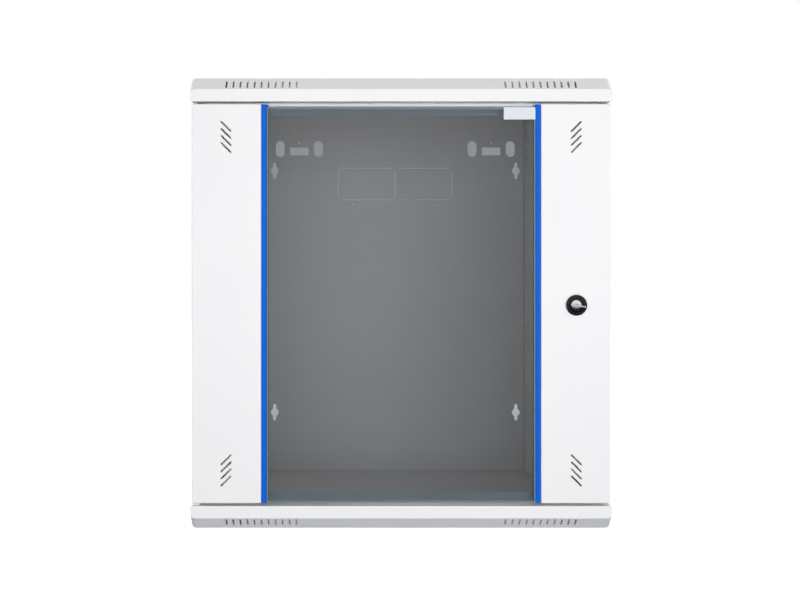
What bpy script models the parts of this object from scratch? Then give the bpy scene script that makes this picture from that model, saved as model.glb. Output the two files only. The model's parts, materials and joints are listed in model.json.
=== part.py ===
"""Wall-hung network cabinet for 19 inch equipment: a folded steel carcass with two pairs of mounting
rails, a tinted glass door between two steel stiles on a pin hinge, a quarter-turn key lock, and side
panels that tilt out.

Metres, +Z up. The origin is on the underside of the bottom cover, in the middle of its width and
depth, and the door faces -Y. Run with: blender --background --python part.py
"""

from math import asin, cos, pi, radians, sin, sqrt

import bmesh
import bpy
from mathutils import Euler, Matrix, Vector

MM = 0.001

# Overall sizes. The height follows the rack units inside.
WIDTH = 600 * MM
DEPTH = 450 * MM
RACK_UNIT = 44.45 * MM
RACK_UNITS = 12
END_ROOM = 55.8 * MM  # above the last unit and below the first
HEIGHT = RACK_UNITS * RACK_UNIT + 2 * END_ROOM

# Sheet and fits
SHEET = 1.2 * MM
GAP = 0.3 * MM  # between pieces that touch
OVERCUT = 4 * MM  # how far a cutter runs past a face

# Top and bottom covers
COVER_LIP = 17.5 * MM
COVER_CHAMFER = 17.5 * MM
COVER_EDGE_RADIUS = 6 * MM
COVER_RIM_RADIUS = 3 * MM
SIDE_SHELF = 14 * MM  # how far the folded rim reaches in at the sides
SIDE_STOP = 14 * MM
TOP_DOOR_STOP = 18 * MM
BOTTOM_DOOR_STOP = 14.5 * MM
COVER_VENT = dict(count=11, pitch=10 * MM, length=16 * MM, width=2.5 * MM)
COVER_VENT_X = 199 * MM
COVER_VENT_FROM_LIP = 2.5 * MM

# Break-out plates for cables, in pairs
KNOCKOUT_WIDTH = 102 * MM
KNOCKOUT_DEPTH = 52 * MM
KNOCKOUT_HEIGHT = 57 * MM
KNOCKOUT_SLIT = 1 * MM
KNOCKOUT_TAB = 6 * MM
KNOCKOUT_FROM_BACK = 6 * MM
KNOCKOUT_FROM_TOP = 157.5 * MM  # to the lower edge

# Back panel
BACK_RETURN = 30 * MM
KEYHOLE_X = 216.7 * MM
KEYHOLE_FROM_END = 105.5 * MM
KEYHOLE_RADIUS = 7 * MM
KEYHOLE_STEM = 5.6 * MM
KEYHOLE_HEIGHT = 30 * MM
SLOT_GROUP_X = 172.3 * MM
SLOT_GROUP_FROM_TOP = 66.1 * MM
SLOT_GROUP_SPREAD = 34.3 * MM
SLOT_TALL = 28.7 * MM
SLOT_WIDE = 16 * MM
TIE_SLOT = (33 * MM, 14 * MM)
TIE_SLOT_DROP = 4.4 * MM
PILOT_RADIUS = 1.6 * MM
PILOT_RISE = 10.6 * MM
PILOT_X = 75.6 * MM
PILOT_BELOW_KNOCKOUT = 8 * MM

# Front posts
POST_WIDTH = 22.5 * MM
POST_DEPTH = 40 * MM

# Door
DOOR_INSET = 2 * MM  # door and side panels stand this far inside the covers
DOOR_RECESS = 1 * MM
DOOR_GAP = 3.3 * MM
DOOR_STOP_GAP = 4 * MM
STILE_WIDTH = 99 * MM
STILE_DEPTH = 20 * MM
STILE_VENT = dict(count=4, pitch=10 * MM, length=20.5 * MM, width=2.2 * MM)
STILE_VENT_FROM_END = 47.2 * MM
STILE_VENT_FROM_EDGE = 49 * MM
GLASS_THICKNESS = 4 * MM
GLASS_RECESS = 1 * MM
GLASS_TOP_DROP = 3.5 * MM
GLASS_BOTTOM_RISE = 1 * MM
TRIM_WIDTH = 7 * MM
TRIM_WALL = 1.5 * MM
TRIM_REBATE = 2 * MM  # how far a trim reaches in behind the glass
TRIM_END_GAP = 0.7 * MM
TRIM_SCREW_RADIUS = 1.5 * MM
TRIM_SCREW_HEAD = (3 * MM, 1.6 * MM)  # radius, height
TRIM_SCREW_FROM_END = 60 * MM
LABEL_SIZE = (45 * MM, 17.5 * MM, 0.4 * MM)
LABEL_FROM_EDGE = 0.5 * MM
LABEL_BELOW_GLASS_TOP = 1.3 * MM

# Hinge
HINGE_FROM_EDGE = 6.5 * MM
HINGE_FROM_FACE = 8 * MM
HINGE_PIN_RADIUS = 2.5 * MM
HINGE_PIN_HEAD = (5 * MM, 3 * MM)
HINGE_PIN_GRIP = 12 * MM
HINGE_WASHER_RADIUS = 5.7 * MM

# Door lock and key
LOCK_FROM_EDGE = 49 * MM
LOCK_BELOW_MIDDLE = 2 * MM
LOCK_BEZEL_RADIUS = 15 * MM
LOCK_BEZEL_RISE = 6 * MM
LOCK_BARREL_RADIUS = 9.6 * MM
LOCK_CORE_RADIUS = 8 * MM
LOCK_NUT = (26 * MM, 3.5 * MM)  # across corners, thickness
LOCK_STEM = 6 * MM
LOCK_STEM_LENGTH = 8 * MM
CAM_LENGTH = 28 * MM
CAM_WIDTH = 13 * MM
CAM_THICKNESS = 2 * MM
CAM_NUT = (13 * MM, 3 * MM)
KEY_THICKNESS = 2 * MM
KEY_BLADE = (8 * MM, 20 * MM)  # width, length
KEY_BOW = (21 * MM, 18 * MM)
KEY_NECK = 2.5 * MM
KEY_HOLE_RADIUS = 2.5 * MM
KEY_REST_ANGLE = radians(10)

# Side panels and their coin latches
PANEL_SHEET = 1 * MM
PANEL_RETURN = 11.5 * MM
PANEL_GAP = 1 * MM
HOOK_Y = 130 * MM
HOOK = (20 * MM, 7 * MM)  # width, drop
HOOK_INSET = 1.5 * MM
HOOK_SLOT = (26 * MM, 5.8 * MM)
LATCH_BELOW_TOP = 30 * MM
LATCH_FLANGE_RADIUS = 11 * MM
LATCH_FLANGE = 0.9 * MM
LATCH_BARREL_RADIUS = 8 * MM
LATCH_BARREL_LENGTH = 8 * MM
LATCH_KNOB_RADIUS = 6 * MM
LATCH_STEM = 5 * MM
LATCH_CAM_LENGTH = 27 * MM
LATCH_CAM_WIDTH = 12 * MM
COIN_SLOT = (1.8 * MM, 1.5 * MM)  # width, depth

# Equipment rails, to the 19 inch standard
RACK_OPENING = 450 * MM
RACK_HOLE_SPACING = 465.1 * MM
RACK_HOLE = 9.5 * MM
RACK_HOLE_OFFSETS = (-15.875 * MM, 0.0, 15.875 * MM)  # in each unit, from its middle
RAIL_SHEET = 1.5 * MM
RAIL_FACE = 25 * MM
RAIL_FLANGE = 25 * MM
RAIL_END_GAP = 2 * MM
RAIL_END_HOLE = 28 * MM
RAIL_END_HOLE_RADIUS = 2.6 * MM
FRONT_RAIL_SETBACK = 75 * MM  # from the cabinet's front to the rail's face
REAR_RAIL_FROM_BACK = 45 * MM

# Side channels that carry the rails
CHANNEL_HEIGHT = 30 * MM
CHANNEL_SIDE_GAP = 3.2 * MM
CHANNEL_SLOT = dict(count=5, length=56 * MM, width=7 * MM)
RAIL_BOLT_RADIUS = 3 * MM
RAIL_BOLT_HEAD = (5.5 * MM, 3.5 * MM)
RAIL_BOLT_LENGTH = 12 * MM

# Earth stud on the floor
EARTH_STUD = (3 * MM, 16 * MM)  # radius, height
EARTH_PLACE = (-238 * MM, 60 * MM)
EARTH_FOOT = (6 * MM, 1.5 * MM)
EARTH_NUT = (11.5 * MM, 5 * MM)

# Places worked out from the sizes above
SIDE_X = WIDTH / 2
DOOR_X = SIDE_X - DOOR_INSET
SHELF_X = SIDE_X - SIDE_SHELF
POST_X = SHELF_X - SHEET - GAP
FRONT_Y = -DEPTH / 2
BACK_Y = DEPTH / 2
BACK_PANEL_Y = BACK_Y - SHEET - GAP  # its rear face
DOOR_Y = FRONT_Y + DOOR_RECESS
DOOR_BACK_Y = DOOR_Y + STILE_DEPTH
STOP_Y = DOOR_BACK_Y + DOOR_STOP_GAP
POST_BACK_Y = STOP_Y + POST_DEPTH
COVER_HEIGHT = COVER_LIP + COVER_CHAMFER
DOOR_BOTTOM = COVER_HEIGHT + DOOR_GAP
DOOR_TOP = HEIGHT - DOOR_BOTTOM
MIDDLE_Z = HEIGHT / 2
KEYHOLE_Z = MIDDLE_Z - KEYHOLE_FROM_END  # above and below the middle
SLOT_GROUP_Z = MIDDLE_Z - SLOT_GROUP_FROM_TOP
KNOCKOUT_Z = MIDDLE_Z - KNOCKOUT_FROM_TOP
STILE_VENT_Z = DOOR_TOP - MIDDLE_Z - STILE_VENT_FROM_END
REAR_RAIL_SETBACK = DEPTH - REAR_RAIL_FROM_BACK
STILE_INNER_X = DOOR_X - STILE_WIDTH
GLASS_FRONT_Y = DOOR_Y + GLASS_RECESS
GLASS_BACK_Y = GLASS_FRONT_Y + GLASS_THICKNESS
HINGE = Vector((-DOOR_X + HINGE_FROM_EDGE, DOOR_Y + HINGE_FROM_FACE, 0))
LOCK = Vector((DOOR_X - LOCK_FROM_EDGE, DOOR_Y, MIDDLE_Z - LOCK_BELOW_MIDDLE))
CAM_Y = STOP_Y + SHEET + GAP
PANEL_BOTTOM = COVER_HEIGHT + PANEL_GAP
PANEL_TOP = HEIGHT - PANEL_BOTTOM
LATCH_Z = PANEL_TOP - LATCH_BELOW_TOP
CHANNEL_X = RACK_OPENING / 2 + RAIL_FACE + GAP
CHANNEL_WIDTH = POST_X - CHANNEL_SIDE_GAP - CHANNEL_X
CHANNEL_FRONT_Y = POST_BACK_Y + GAP
CHANNEL_BACK_Y = BACK_PANEL_Y - SHEET - GAP
FLOOR = SHEET + GAP

# How a flat shape drawn in its own XY plane is turned: to face the front, a side or up
FACING_FRONT = Euler((pi / 2, 0, 0))
FACING_SIDE = Euler((pi / 2, 0, pi / 2))
FACING_UP = Euler((0, 0, 0))

POWDER = ("powder_coat", (0.86, 0.86, 0.85), 0.45, 0.0)
ZINC = ("zinc_plate", (0.62, 0.63, 0.64), 0.35, 1.0)
CHROME = ("chrome", (0.85, 0.85, 0.86), 0.12, 1.0)
BLACK = ("black_zinc", (0.02, 0.02, 0.022), 0.3, 0.6)
GLASS = ("tinted_glass", (0.25, 0.27, 0.27), 0.05, 0.0)
BLUE = ("blue_trim", (0.01, 0.13, 0.75), 0.4, 0.0)
NYLON = ("nylon", (0.8, 0.8, 0.76), 0.5, 0.0)
WHITE = ("white_label", (0.9, 0.9, 0.92), 0.4, 0.0)


def clear_scene():
    for item in list(bpy.data.objects):
        bpy.data.objects.remove(item, do_unlink=True)


def new_collection(name):
    made = bpy.data.collections.new(name)
    bpy.context.scene.collection.children.link(made)
    return made


def material(finish):
    """One Principled material for each part, from a finish's name, colour, roughness and metallic value."""
    name, colour, roughness, metallic = finish
    made = bpy.data.materials.new(name)
    made.use_nodes = True
    shader = made.node_tree.nodes["Principled BSDF"]
    shader.inputs["Base Color"].default_value = (*colour, 1)
    shader.inputs["Roughness"].default_value = roughness
    shader.inputs["Metallic"].default_value = metallic
    return made


# Outlines: lists of 2D points, anticlockwise


def rectangle(x0, y0, x1, y1):
    return [(x0, y0), (x1, y0), (x1, y1), (x0, y1)]


def centred(x, y, width, height):
    return rectangle(x - width / 2, y - height / 2, x + width / 2, y + height / 2)


def arc(x, y, radius, start, end, steps):
    angles = [start + (end - start) * i / steps for i in range(steps + 1)]
    return [(x + radius * cos(a), y + radius * sin(a)) for a in angles]


def circle(x, y, radius, steps=16):
    return arc(x, y, radius, 0, 2 * pi, steps)[:-1]


def hexagon(across):
    return circle(0, 0, across / 2, 6)


def turned_about(points, x, y, angle):
    c, s = cos(angle), sin(angle)
    return [(x + (u - x) * c - (v - y) * s, y + (u - x) * s + (v - y) * c) for u, v in points]


def obround(x, y, length, width, angle=0.0, steps=4):
    """A slot with round ends, its length along X before it is turned by the angle."""
    reach = (length - width) / 2
    right = arc(x + reach, y, width / 2, -pi / 2, pi / 2, steps)
    left = arc(x - reach, y, width / 2, pi / 2, 3 * pi / 2, steps)
    return turned_about(right + left, x, y, angle)


def keyhole(x, y):
    """A round entry with a narrow stem above and below, so that the cabinet hangs either way up."""
    half_stem = KEYHOLE_STEM / 2
    meet = asin(half_stem / KEYHOLE_RADIUS)
    rise = KEYHOLE_HEIGHT / 2 - half_stem
    right = arc(x, y, KEYHOLE_RADIUS, meet - pi / 2, pi / 2 - meet, 6)
    top = arc(x, y + rise, half_stem, 0, pi, 4)
    left = arc(x, y, KEYHOLE_RADIUS, pi / 2 + meet, 3 * pi / 2 - meet, 6)
    bottom = arc(x, y - rise, half_stem, pi, 2 * pi, 4)
    return right + top + left + bottom


def cam_outline(length, width):
    """A bar with round ends that reaches up from the shaft at the origin."""
    tip = arc(0, length - width / 2, width / 2, 0, pi, 8)
    heel = arc(0, 0, width / 2, pi, 2 * pi, 8)
    return tip + heel


def knockout_slits(x, y, width, height):
    """The slits round two break-out plates side by side, their shared edge centred on x, from y upwards."""
    across = width - 2 * KNOCKOUT_TAB
    along = height - 2 * KNOCKOUT_TAB
    level = [(x + s * width / 2, y + h) for s in (-1, 1) for h in (0, height)]
    upright = [(x + s * width, y + height / 2) for s in (-1, 0, 1)]
    return [centred(u, v, across, KNOCKOUT_SLIT) for u, v in level] + [
        centred(u, v, KNOCKOUT_SLIT, along) for u, v in upright
    ]


class Cabinet:
    """Makes the pieces and keeps the collections that they go in."""

    def __init__(self):
        self.parts = new_collection("network_cabinet")
        self.cutters = new_collection("cutters")
        self.cutters.hide_render = True

    def pivot(self, name, place, parent=None):
        """An empty that a moving group hangs on, at a point of its joint's axis."""
        empty = bpy.data.objects.new(name, None)
        empty.empty_display_size = 20 * MM
        self.parts.objects.link(empty)
        self.put(empty, place, parent=parent)
        return empty

    def put(self, item, place, turn=FACING_UP, parent=None):
        """Places an object at a world point. Parents aren't turned, so only their place is taken off."""
        base = Vector((0, 0, 0))
        item.parent = parent
        while parent is not None:
            base += parent.location
            parent = parent.parent
        item.location = Vector(place) - base
        item.rotation_euler = turn
        return item

    def add(self, name, mesh, finish):
        item = bpy.data.objects.new(name, mesh)
        self.parts.objects.link(item)
        item.data.materials.append(material(finish))
        return item

    def helper(self, name, mesh):
        """A solid that is only taken off another, or joined to it."""
        item = bpy.data.objects.new(name, mesh)
        item.display_type = "WIRE"
        item.hide_render = True
        self.cutters.objects.link(item)
        return item

    def boolean(self, item, other, operation):
        step = item.modifiers.new(other.name, "BOOLEAN")
        step.operation = operation
        step.object = other
        step.solver = "EXACT"

    def cut(self, item, outlines, depth, place, turn):
        """Cuts holes of these outlines through a sheet. The cutter's own XY plane is placed and turned."""
        cutter = self.helper(item.name + "_cut", flat_mesh(outlines, depth))
        self.put(cutter, place, turn)
        self.boolean(item, cutter, "DIFFERENCE")

    def cut_box(self, item, low, high):
        cutter = self.helper(item.name + "_cut", box_mesh(low, high))
        self.put(cutter, (0, 0, 0))
        self.boolean(item, cutter, "DIFFERENCE")

    def join_box(self, item, low, high):
        extra = self.helper(item.name + "_join", box_mesh(low, high))
        self.boolean(item, extra, "UNION")


def box_mesh(low, high):
    low, high = Vector(low), Vector(high)
    size = Matrix.Diagonal((*(high - low), 1))
    shape = bmesh.new()
    bmesh.ops.create_cube(shape, size=1, matrix=Matrix.Translation((low + high) / 2) @ size)
    return mesh_of(shape)


def mesh_of(shape):
    mesh = bpy.data.meshes.new("shape")
    bmesh.ops.recalc_face_normals(shape, faces=shape.faces)
    shape.to_mesh(mesh)
    shape.free()
    return mesh


def flat_mesh(outlines, thickness):
    """A flat solid about its own XY plane. An outline inside another makes a hole in it."""
    curve = bpy.data.curves.new("outline", "CURVE")
    curve.dimensions = "2D"
    curve.fill_mode = "BOTH"
    curve.extrude = thickness / 2
    for outline in outlines:
        spline = curve.splines.new("POLY")
        spline.points.add(len(outline) - 1)
        spline.use_cyclic_u = True
        for point, (x, y) in zip(spline.points, outline):
            point.co = (x, y, 0, 1)
    guide = bpy.data.objects.new("outline", curve)
    bpy.context.scene.collection.objects.link(guide)
    bpy.context.view_layer.update()
    graph = bpy.context.evaluated_depsgraph_get()
    mesh = bpy.data.meshes.new_from_object(guide.evaluated_get(graph))
    bpy.data.objects.remove(guide, do_unlink=True)
    shape = bmesh.new()
    shape.from_mesh(mesh)
    bmesh.ops.remove_doubles(shape, verts=shape.verts, dist=0.01 * MM)
    bpy.data.meshes.remove(mesh)
    return mesh_of(shape)


def turned_mesh(profile, ring=False):
    """The half section of a turned piece, as (radius, height) points that run down its outer side."""
    mesh = bpy.data.meshes.new("profile")
    points = [(r, 0, h) for r, h in profile]
    edges = [(i, i + 1) for i in range(len(points) - 1)]
    if ring:
        edges.append((len(points) - 1, 0))
    mesh.from_pydata(points, edges, [])
    return mesh


def spin(item, steps=24):
    turn = item.modifiers.new("turn", "SCREW")
    turn.axis = "Z"
    turn.angle = 2 * pi
    turn.steps = steps
    turn.render_steps = steps
    turn.use_merge_vertices = True
    turn.merge_threshold = 0.01 * MM
    turn.use_smooth_shade = True


def stepped(lengths):
    """The profile of a solid pin of (radius, length) steps, from its top face at height 0 down."""
    height = 0
    points = [(0, 0)]
    for radius, length in lengths:
        points.append((radius, height))
        height -= length
        points.append((radius, height))
    return points + [(0, height)]


# Covers


def cover_block(inset):
    """The closed block that a cover's skin follows, drawn for the bottom cover, set in by a wall."""
    chamfer = COVER_CHAMFER - inset * (2 - sqrt(2))
    radius = COVER_EDGE_RADIUS - inset
    low = Vector((-SIDE_X + inset, FRONT_Y + inset, inset))
    high = Vector((SIDE_X - inset, BACK_Y - inset, COVER_HEIGHT - inset))
    shape = bmesh.new()
    size = Matrix.Diagonal((*(high - low), 1))
    bmesh.ops.create_cube(shape, size=1, matrix=Matrix.Translation((low + high) / 2) @ size)
    below = low.z + COVER_RIM_RADIUS
    front = [e for e in shape.edges if all(v.co.y < 0 and v.co.z < below for v in e.verts)]
    round_off(shape, front, chamfer, 1)
    round_off(shape, [e for e in shape.edges if on_lower_side(e, SIDE_X - inset)], radius, 3)
    rims = [e for e in shape.edges if on_rim(e, SIDE_X - inset, high.z)]
    round_off(shape, rims, COVER_RIM_RADIUS - inset, 2)
    return mesh_of(shape)


def round_off(shape, edges, radius, segments):
    bmesh.ops.bevel(
        shape, geom=edges, offset=radius, offset_type="OFFSET", segments=segments, profile=0.5, affect="EDGES"
    )


def on_lower_side(edge, x):
    """Whether an edge runs front to back along the outer bottom corner of a block x wide each way."""
    a, b = (v.co for v in edge.verts)
    at_side = abs(abs(a.x) - x) < 0.1 * MM and abs(a.x - b.x) < 0.1 * MM
    runs_back = abs(a.y - b.y) > 1 * MM
    low = max(a.z, b.z) < COVER_HEIGHT - COVER_LIP + SHEET
    return at_side and runs_back and low


def on_rim(edge, x, z):
    a, b = (v.co for v in edge.verts)
    at_side = abs(abs(a.x) - x) < 0.1 * MM and abs(a.x - b.x) < 0.1 * MM
    return at_side and abs(a.z - z) < 0.1 * MM and abs(b.z - z) < 0.1 * MM


def add_cover(cabinet, name, stop_height, hinge_x):
    """A folded pan, drawn as the bottom cover: chamfered front, rim folded in, door stop and side stops."""
    cover = cabinet.add(name, cover_block(0), POWDER)
    hollow = cabinet.helper(name + "_hollow", cover_block(SHEET))
    cabinet.boolean(cover, hollow, "DIFFERENCE")
    shelf_y = STOP_Y - GAP - SHEET
    cabinet.cut_box(
        cover,
        (-SHELF_X, shelf_y, COVER_HEIGHT / 2),
        (SHELF_X, BACK_Y - SHEET, COVER_HEIGHT + OVERCUT),
    )
    stop_x = POST_X - POST_WIDTH - GAP
    under = COVER_HEIGHT - SHEET
    cabinet.join_box(cover, (-stop_x, shelf_y - SHEET, under), (stop_x, STOP_Y + SHEET, COVER_HEIGHT))
    cabinet.join_box(cover, (-stop_x, STOP_Y, under), (stop_x, STOP_Y + SHEET, COVER_HEIGHT + stop_height))
    for side in (-1, 1):
        add_side_stop(cabinet, cover, side)
    cut_cover(cabinet, cover, hinge_x)
    return cover


def add_side_stop(cabinet, cover, side):
    """The upright strip that a side panel closes against, and that its latch turns behind."""
    inner, outer = sorted((side * (SHELF_X - SHEET), side * (SHELF_X + SHEET)))
    strip = sorted((side * (SHELF_X - SHEET), side * SHELF_X))
    low_y = POST_BACK_Y + GAP
    high_y = BACK_PANEL_Y - BACK_RETURN - GAP
    under = COVER_HEIGHT - SHEET
    cabinet.join_box(cover, (inner, low_y, under), (outer, high_y, COVER_HEIGHT))
    cabinet.join_box(cover, (strip[0], low_y, under), (strip[1], high_y, COVER_HEIGHT + SIDE_STOP))


def cut_cover(cabinet, cover, hinge_x):
    vent = COVER_VENT
    first = -(vent["count"] - 1) * vent["pitch"] / 2
    along = COVER_VENT_FROM_LIP + vent["length"] / 2
    slots = [
        obround(side * COVER_VENT_X + first + i * vent["pitch"], 0, vent["length"], vent["width"], pi / 2, 3)
        for side in (-1, 1)
        for i in range(vent["count"])
    ]
    down = along / sqrt(2)
    place = (0, FRONT_Y + down, COVER_CHAMFER - down)
    cabinet.cut(cover, slots, 2 * OVERCUT, place, Euler((3 * pi / 4, 0, 0)))
    plates_y = BACK_PANEL_Y - SHEET - KNOCKOUT_FROM_BACK - KNOCKOUT_DEPTH
    slits = knockout_slits(0, plates_y, KNOCKOUT_WIDTH, KNOCKOUT_DEPTH)
    cabinet.cut(cover, slits, 2 * OVERCUT, (0, 0, 0), FACING_UP)
    rim_holes = [circle(hinge_x, HINGE.y, HINGE_PIN_RADIUS + GAP, 12)]
    hook_x = DOOR_X - HOOK_INSET - HOOK_SLOT[1] / 2 + GAP
    for side in (-1, 1):
        rim_holes += [centred(side * hook_x, y, HOOK_SLOT[1], HOOK_SLOT[0]) for y in (-HOOK_Y, HOOK_Y)]
    cabinet.cut(cover, rim_holes, 2 * OVERCUT, (0, 0, COVER_HEIGHT), FACING_UP)


# Carcass


def add_back_panel(cabinet):
    """A sheet between the covers with a return forwards down each side."""
    t = SHEET
    front = BACK_PANEL_Y - BACK_RETURN
    section = [
        (-POST_X, front),
        (-POST_X + t, front),
        (-POST_X + t, BACK_PANEL_Y - t),
        (POST_X - t, BACK_PANEL_Y - t),
        (POST_X - t, front),
        (POST_X, front),
        (POST_X, BACK_PANEL_Y),
        (-POST_X, BACK_PANEL_Y),
    ]
    panel = cabinet.add("back_panel", flat_mesh([section], HEIGHT - 2 * FLOOR), POWDER)
    cabinet.put(panel, (0, 0, MIDDLE_Z))
    holes = [keyhole(x, z) for x in (-KEYHOLE_X, KEYHOLE_X) for z in (-KEYHOLE_Z, KEYHOLE_Z)]
    for side in (-1, 1):
        holes += slot_group(side * SLOT_GROUP_X)
        holes.append(circle(side * PILOT_X, KNOCKOUT_Z - PILOT_BELOW_KNOCKOUT, PILOT_RADIUS, 8))
    holes += knockout_slits(0, KNOCKOUT_Z, KNOCKOUT_WIDTH, KNOCKOUT_HEIGHT)
    cabinet.cut(panel, holes, 2 * OVERCUT, (0, BACK_PANEL_Y - t / 2, MIDDLE_Z), FACING_FRONT)


def slot_group(x):
    """Two upright fixing slots with a cable-tie slot and a pilot hole between them."""
    slots = [
        obround(x + side * SLOT_GROUP_SPREAD, SLOT_GROUP_Z, SLOT_TALL, SLOT_WIDE, pi / 2, 6) for side in (-1, 1)
    ]
    tie = centred(x, SLOT_GROUP_Z - TIE_SLOT_DROP, *TIE_SLOT)
    pilot = circle(x, SLOT_GROUP_Z + PILOT_RISE, PILOT_RADIUS, 8)
    return [*slots, tie, pilot]


def channel_section(x0, x1, y0, y1, wall, open_side):
    """A U section in a rectangle, open towards open_side: '-x', '+x'."""
    if open_side == "-x":
        return [(x0, y0), (x1, y0), (x1, y1), (x0, y1), (x0, y1 - wall), (x1 - wall, y1 - wall)] + [
            (x1 - wall, y0 + wall),
            (x0, y0 + wall),
        ]
    return [(x0, y0), (x1, y0), (x1, y0 + wall), (x0 + wall, y0 + wall)] + [
        (x0 + wall, y1 - wall),
        (x1, y1 - wall),
        (x1, y1),
        (x0, y1),
    ]


def side_name(side):
    return "left" if side < 0 else "right"


def add_post(cabinet, side):
    """An upright C section behind the door's edge, open to the middle of the cabinet."""
    x0, x1 = sorted((side * (POST_X - POST_WIDTH), side * POST_X))
    section = channel_section(x0, x1, STOP_Y, POST_BACK_Y, SHEET, "-x" if side > 0 else "+x")
    post = cabinet.add("front_post_" + side_name(side), flat_mesh([section], HEIGHT - 2 * FLOOR), POWDER)
    cabinet.put(post, (0, 0, MIDDLE_Z))


def rail_bolt_y(setback):
    return FRONT_Y + setback + RAIL_FLANGE / 2


def channel_middle_z(level):
    return FLOOR + CHANNEL_HEIGHT / 2 if level == "bottom" else HEIGHT - FLOOR - CHANNEL_HEIGHT / 2


def add_channel(cabinet, side, level):
    """A level channel from front post to back panel, with slots for the rails at any depth."""
    x0, x1 = sorted((side * CHANNEL_X, side * (CHANNEL_X + CHANNEL_WIDTH)))
    length = CHANNEL_BACK_Y - CHANNEL_FRONT_Y
    height = CHANNEL_HEIGHT / 2
    section = channel_section(x0, x1, -height, height, SHEET, "+x" if side > 0 else "-x")
    name = f"side_channel_{level}_{side_name(side)}"
    channel = cabinet.add(name, flat_mesh([section], length), POWDER)
    middle = Vector((0, (CHANNEL_BACK_Y + CHANNEL_FRONT_Y) / 2, channel_middle_z(level)))
    cabinet.put(channel, middle, FACING_FRONT)
    slot = CHANNEL_SLOT
    ends = rail_bolt_y(FRONT_RAIL_SETBACK), rail_bolt_y(REAR_RAIL_SETBACK)
    pitch = (ends[1] - ends[0]) / (slot["count"] - 1)
    slots = [obround(ends[0] + i * pitch, 0, slot["length"], slot["width"]) for i in range(slot["count"])]
    slots[0] = obround(ends[0] + GAP, 0, RAIL_FLANGE, slot["width"])
    slots[-1] = obround(ends[1] - GAP, 0, RAIL_FLANGE, slot["width"])
    cabinet.cut(channel, slots, 2 * OVERCUT, (side * CHANNEL_X, 0, middle.z), FACING_SIDE)


def add_rail(cabinet, side, row, setback):
    """An upright angle with the standard row of square holes, and a flange for the side channels."""
    y = FRONT_Y + setback
    edge = RACK_OPENING / 2
    face = (side * edge, side * (edge + RAIL_FACE))
    flange = side * (edge + RAIL_FACE - RAIL_SHEET)
    section = [
        (face[0], y),
        (face[1], y),
        (face[1], y + RAIL_FLANGE),
        (flange, y + RAIL_FLANGE),
        (flange, y + RAIL_SHEET),
        (face[0], y + RAIL_SHEET),
    ]
    length = HEIGHT - 2 * (SHEET + RAIL_END_GAP)
    name = f"rail_{row}_{side_name(side)}"
    rail = cabinet.add(name, flat_mesh([section], length), POWDER)
    cabinet.put(rail, (0, 0, MIDDLE_Z))
    x = side * RACK_HOLE_SPACING / 2
    lowest = -(RACK_UNITS - 1) * RACK_UNIT / 2
    holes = [
        centred(x, lowest + unit * RACK_UNIT + offset, RACK_HOLE, RACK_HOLE)
        for unit in range(RACK_UNITS)
        for offset in RACK_HOLE_OFFSETS
    ]
    end = length / 2 - RAIL_END_HOLE
    holes += [circle(x, z, RAIL_END_HOLE_RADIUS, 10) for z in (-end, end)]
    cabinet.cut(rail, holes, 2 * OVERCUT, (0, y + RAIL_SHEET / 2, MIDDLE_Z), FACING_FRONT)
    bolt_holes = [
        circle(rail_bolt_y(setback), channel_middle_z(level), RAIL_BOLT_RADIUS + GAP, 12)
        for level in ("bottom", "top")
    ]
    cabinet.cut(rail, bolt_holes, 2 * OVERCUT, (side * (edge + RAIL_FACE), 0, 0), FACING_SIDE)
    for level in ("bottom", "top"):
        add_rail_bolt(cabinet, side, row, setback, level)


def add_rail_bolt(cabinet, side, row, setback, level):
    """A pan-head bolt from inside the rail's flange out through the channel's slot."""
    name = f"rail_bolt_{row}_{side_name(side)}_{level}"
    mesh = turned_mesh(stepped([RAIL_BOLT_HEAD, (RAIL_BOLT_RADIUS, RAIL_BOLT_LENGTH)]))
    bolt = cabinet.add(name, mesh, ZINC)
    spin(bolt, 12)
    under_head = RACK_OPENING / 2 + RAIL_FACE - RAIL_SHEET - GAP
    x = side * (under_head - RAIL_BOLT_HEAD[1])
    cabinet.put(bolt, (x, rail_bolt_y(setback), channel_middle_z(level)), Euler((0, -side * pi / 2, 0)))


def add_earth_stud(cabinet):
    radius, height = EARTH_STUD
    stud = cabinet.add("earth_stud", turned_mesh(stepped([(radius, height), EARTH_FOOT])), ZINC)
    spin(stud, 12)
    top = FLOOR + EARTH_FOOT[1] + height
    cabinet.put(stud, (*EARTH_PLACE, top))
    across, thickness = EARTH_NUT
    ring = flat_mesh([hexagon(across), circle(0, 0, radius + GAP, 12)], thickness)
    nut = cabinet.add("earth_nut", ring, ZINC)
    cabinet.put(nut, (*EARTH_PLACE, FLOOR + EARTH_FOOT[1] + GAP + thickness / 2))


# Door


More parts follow.
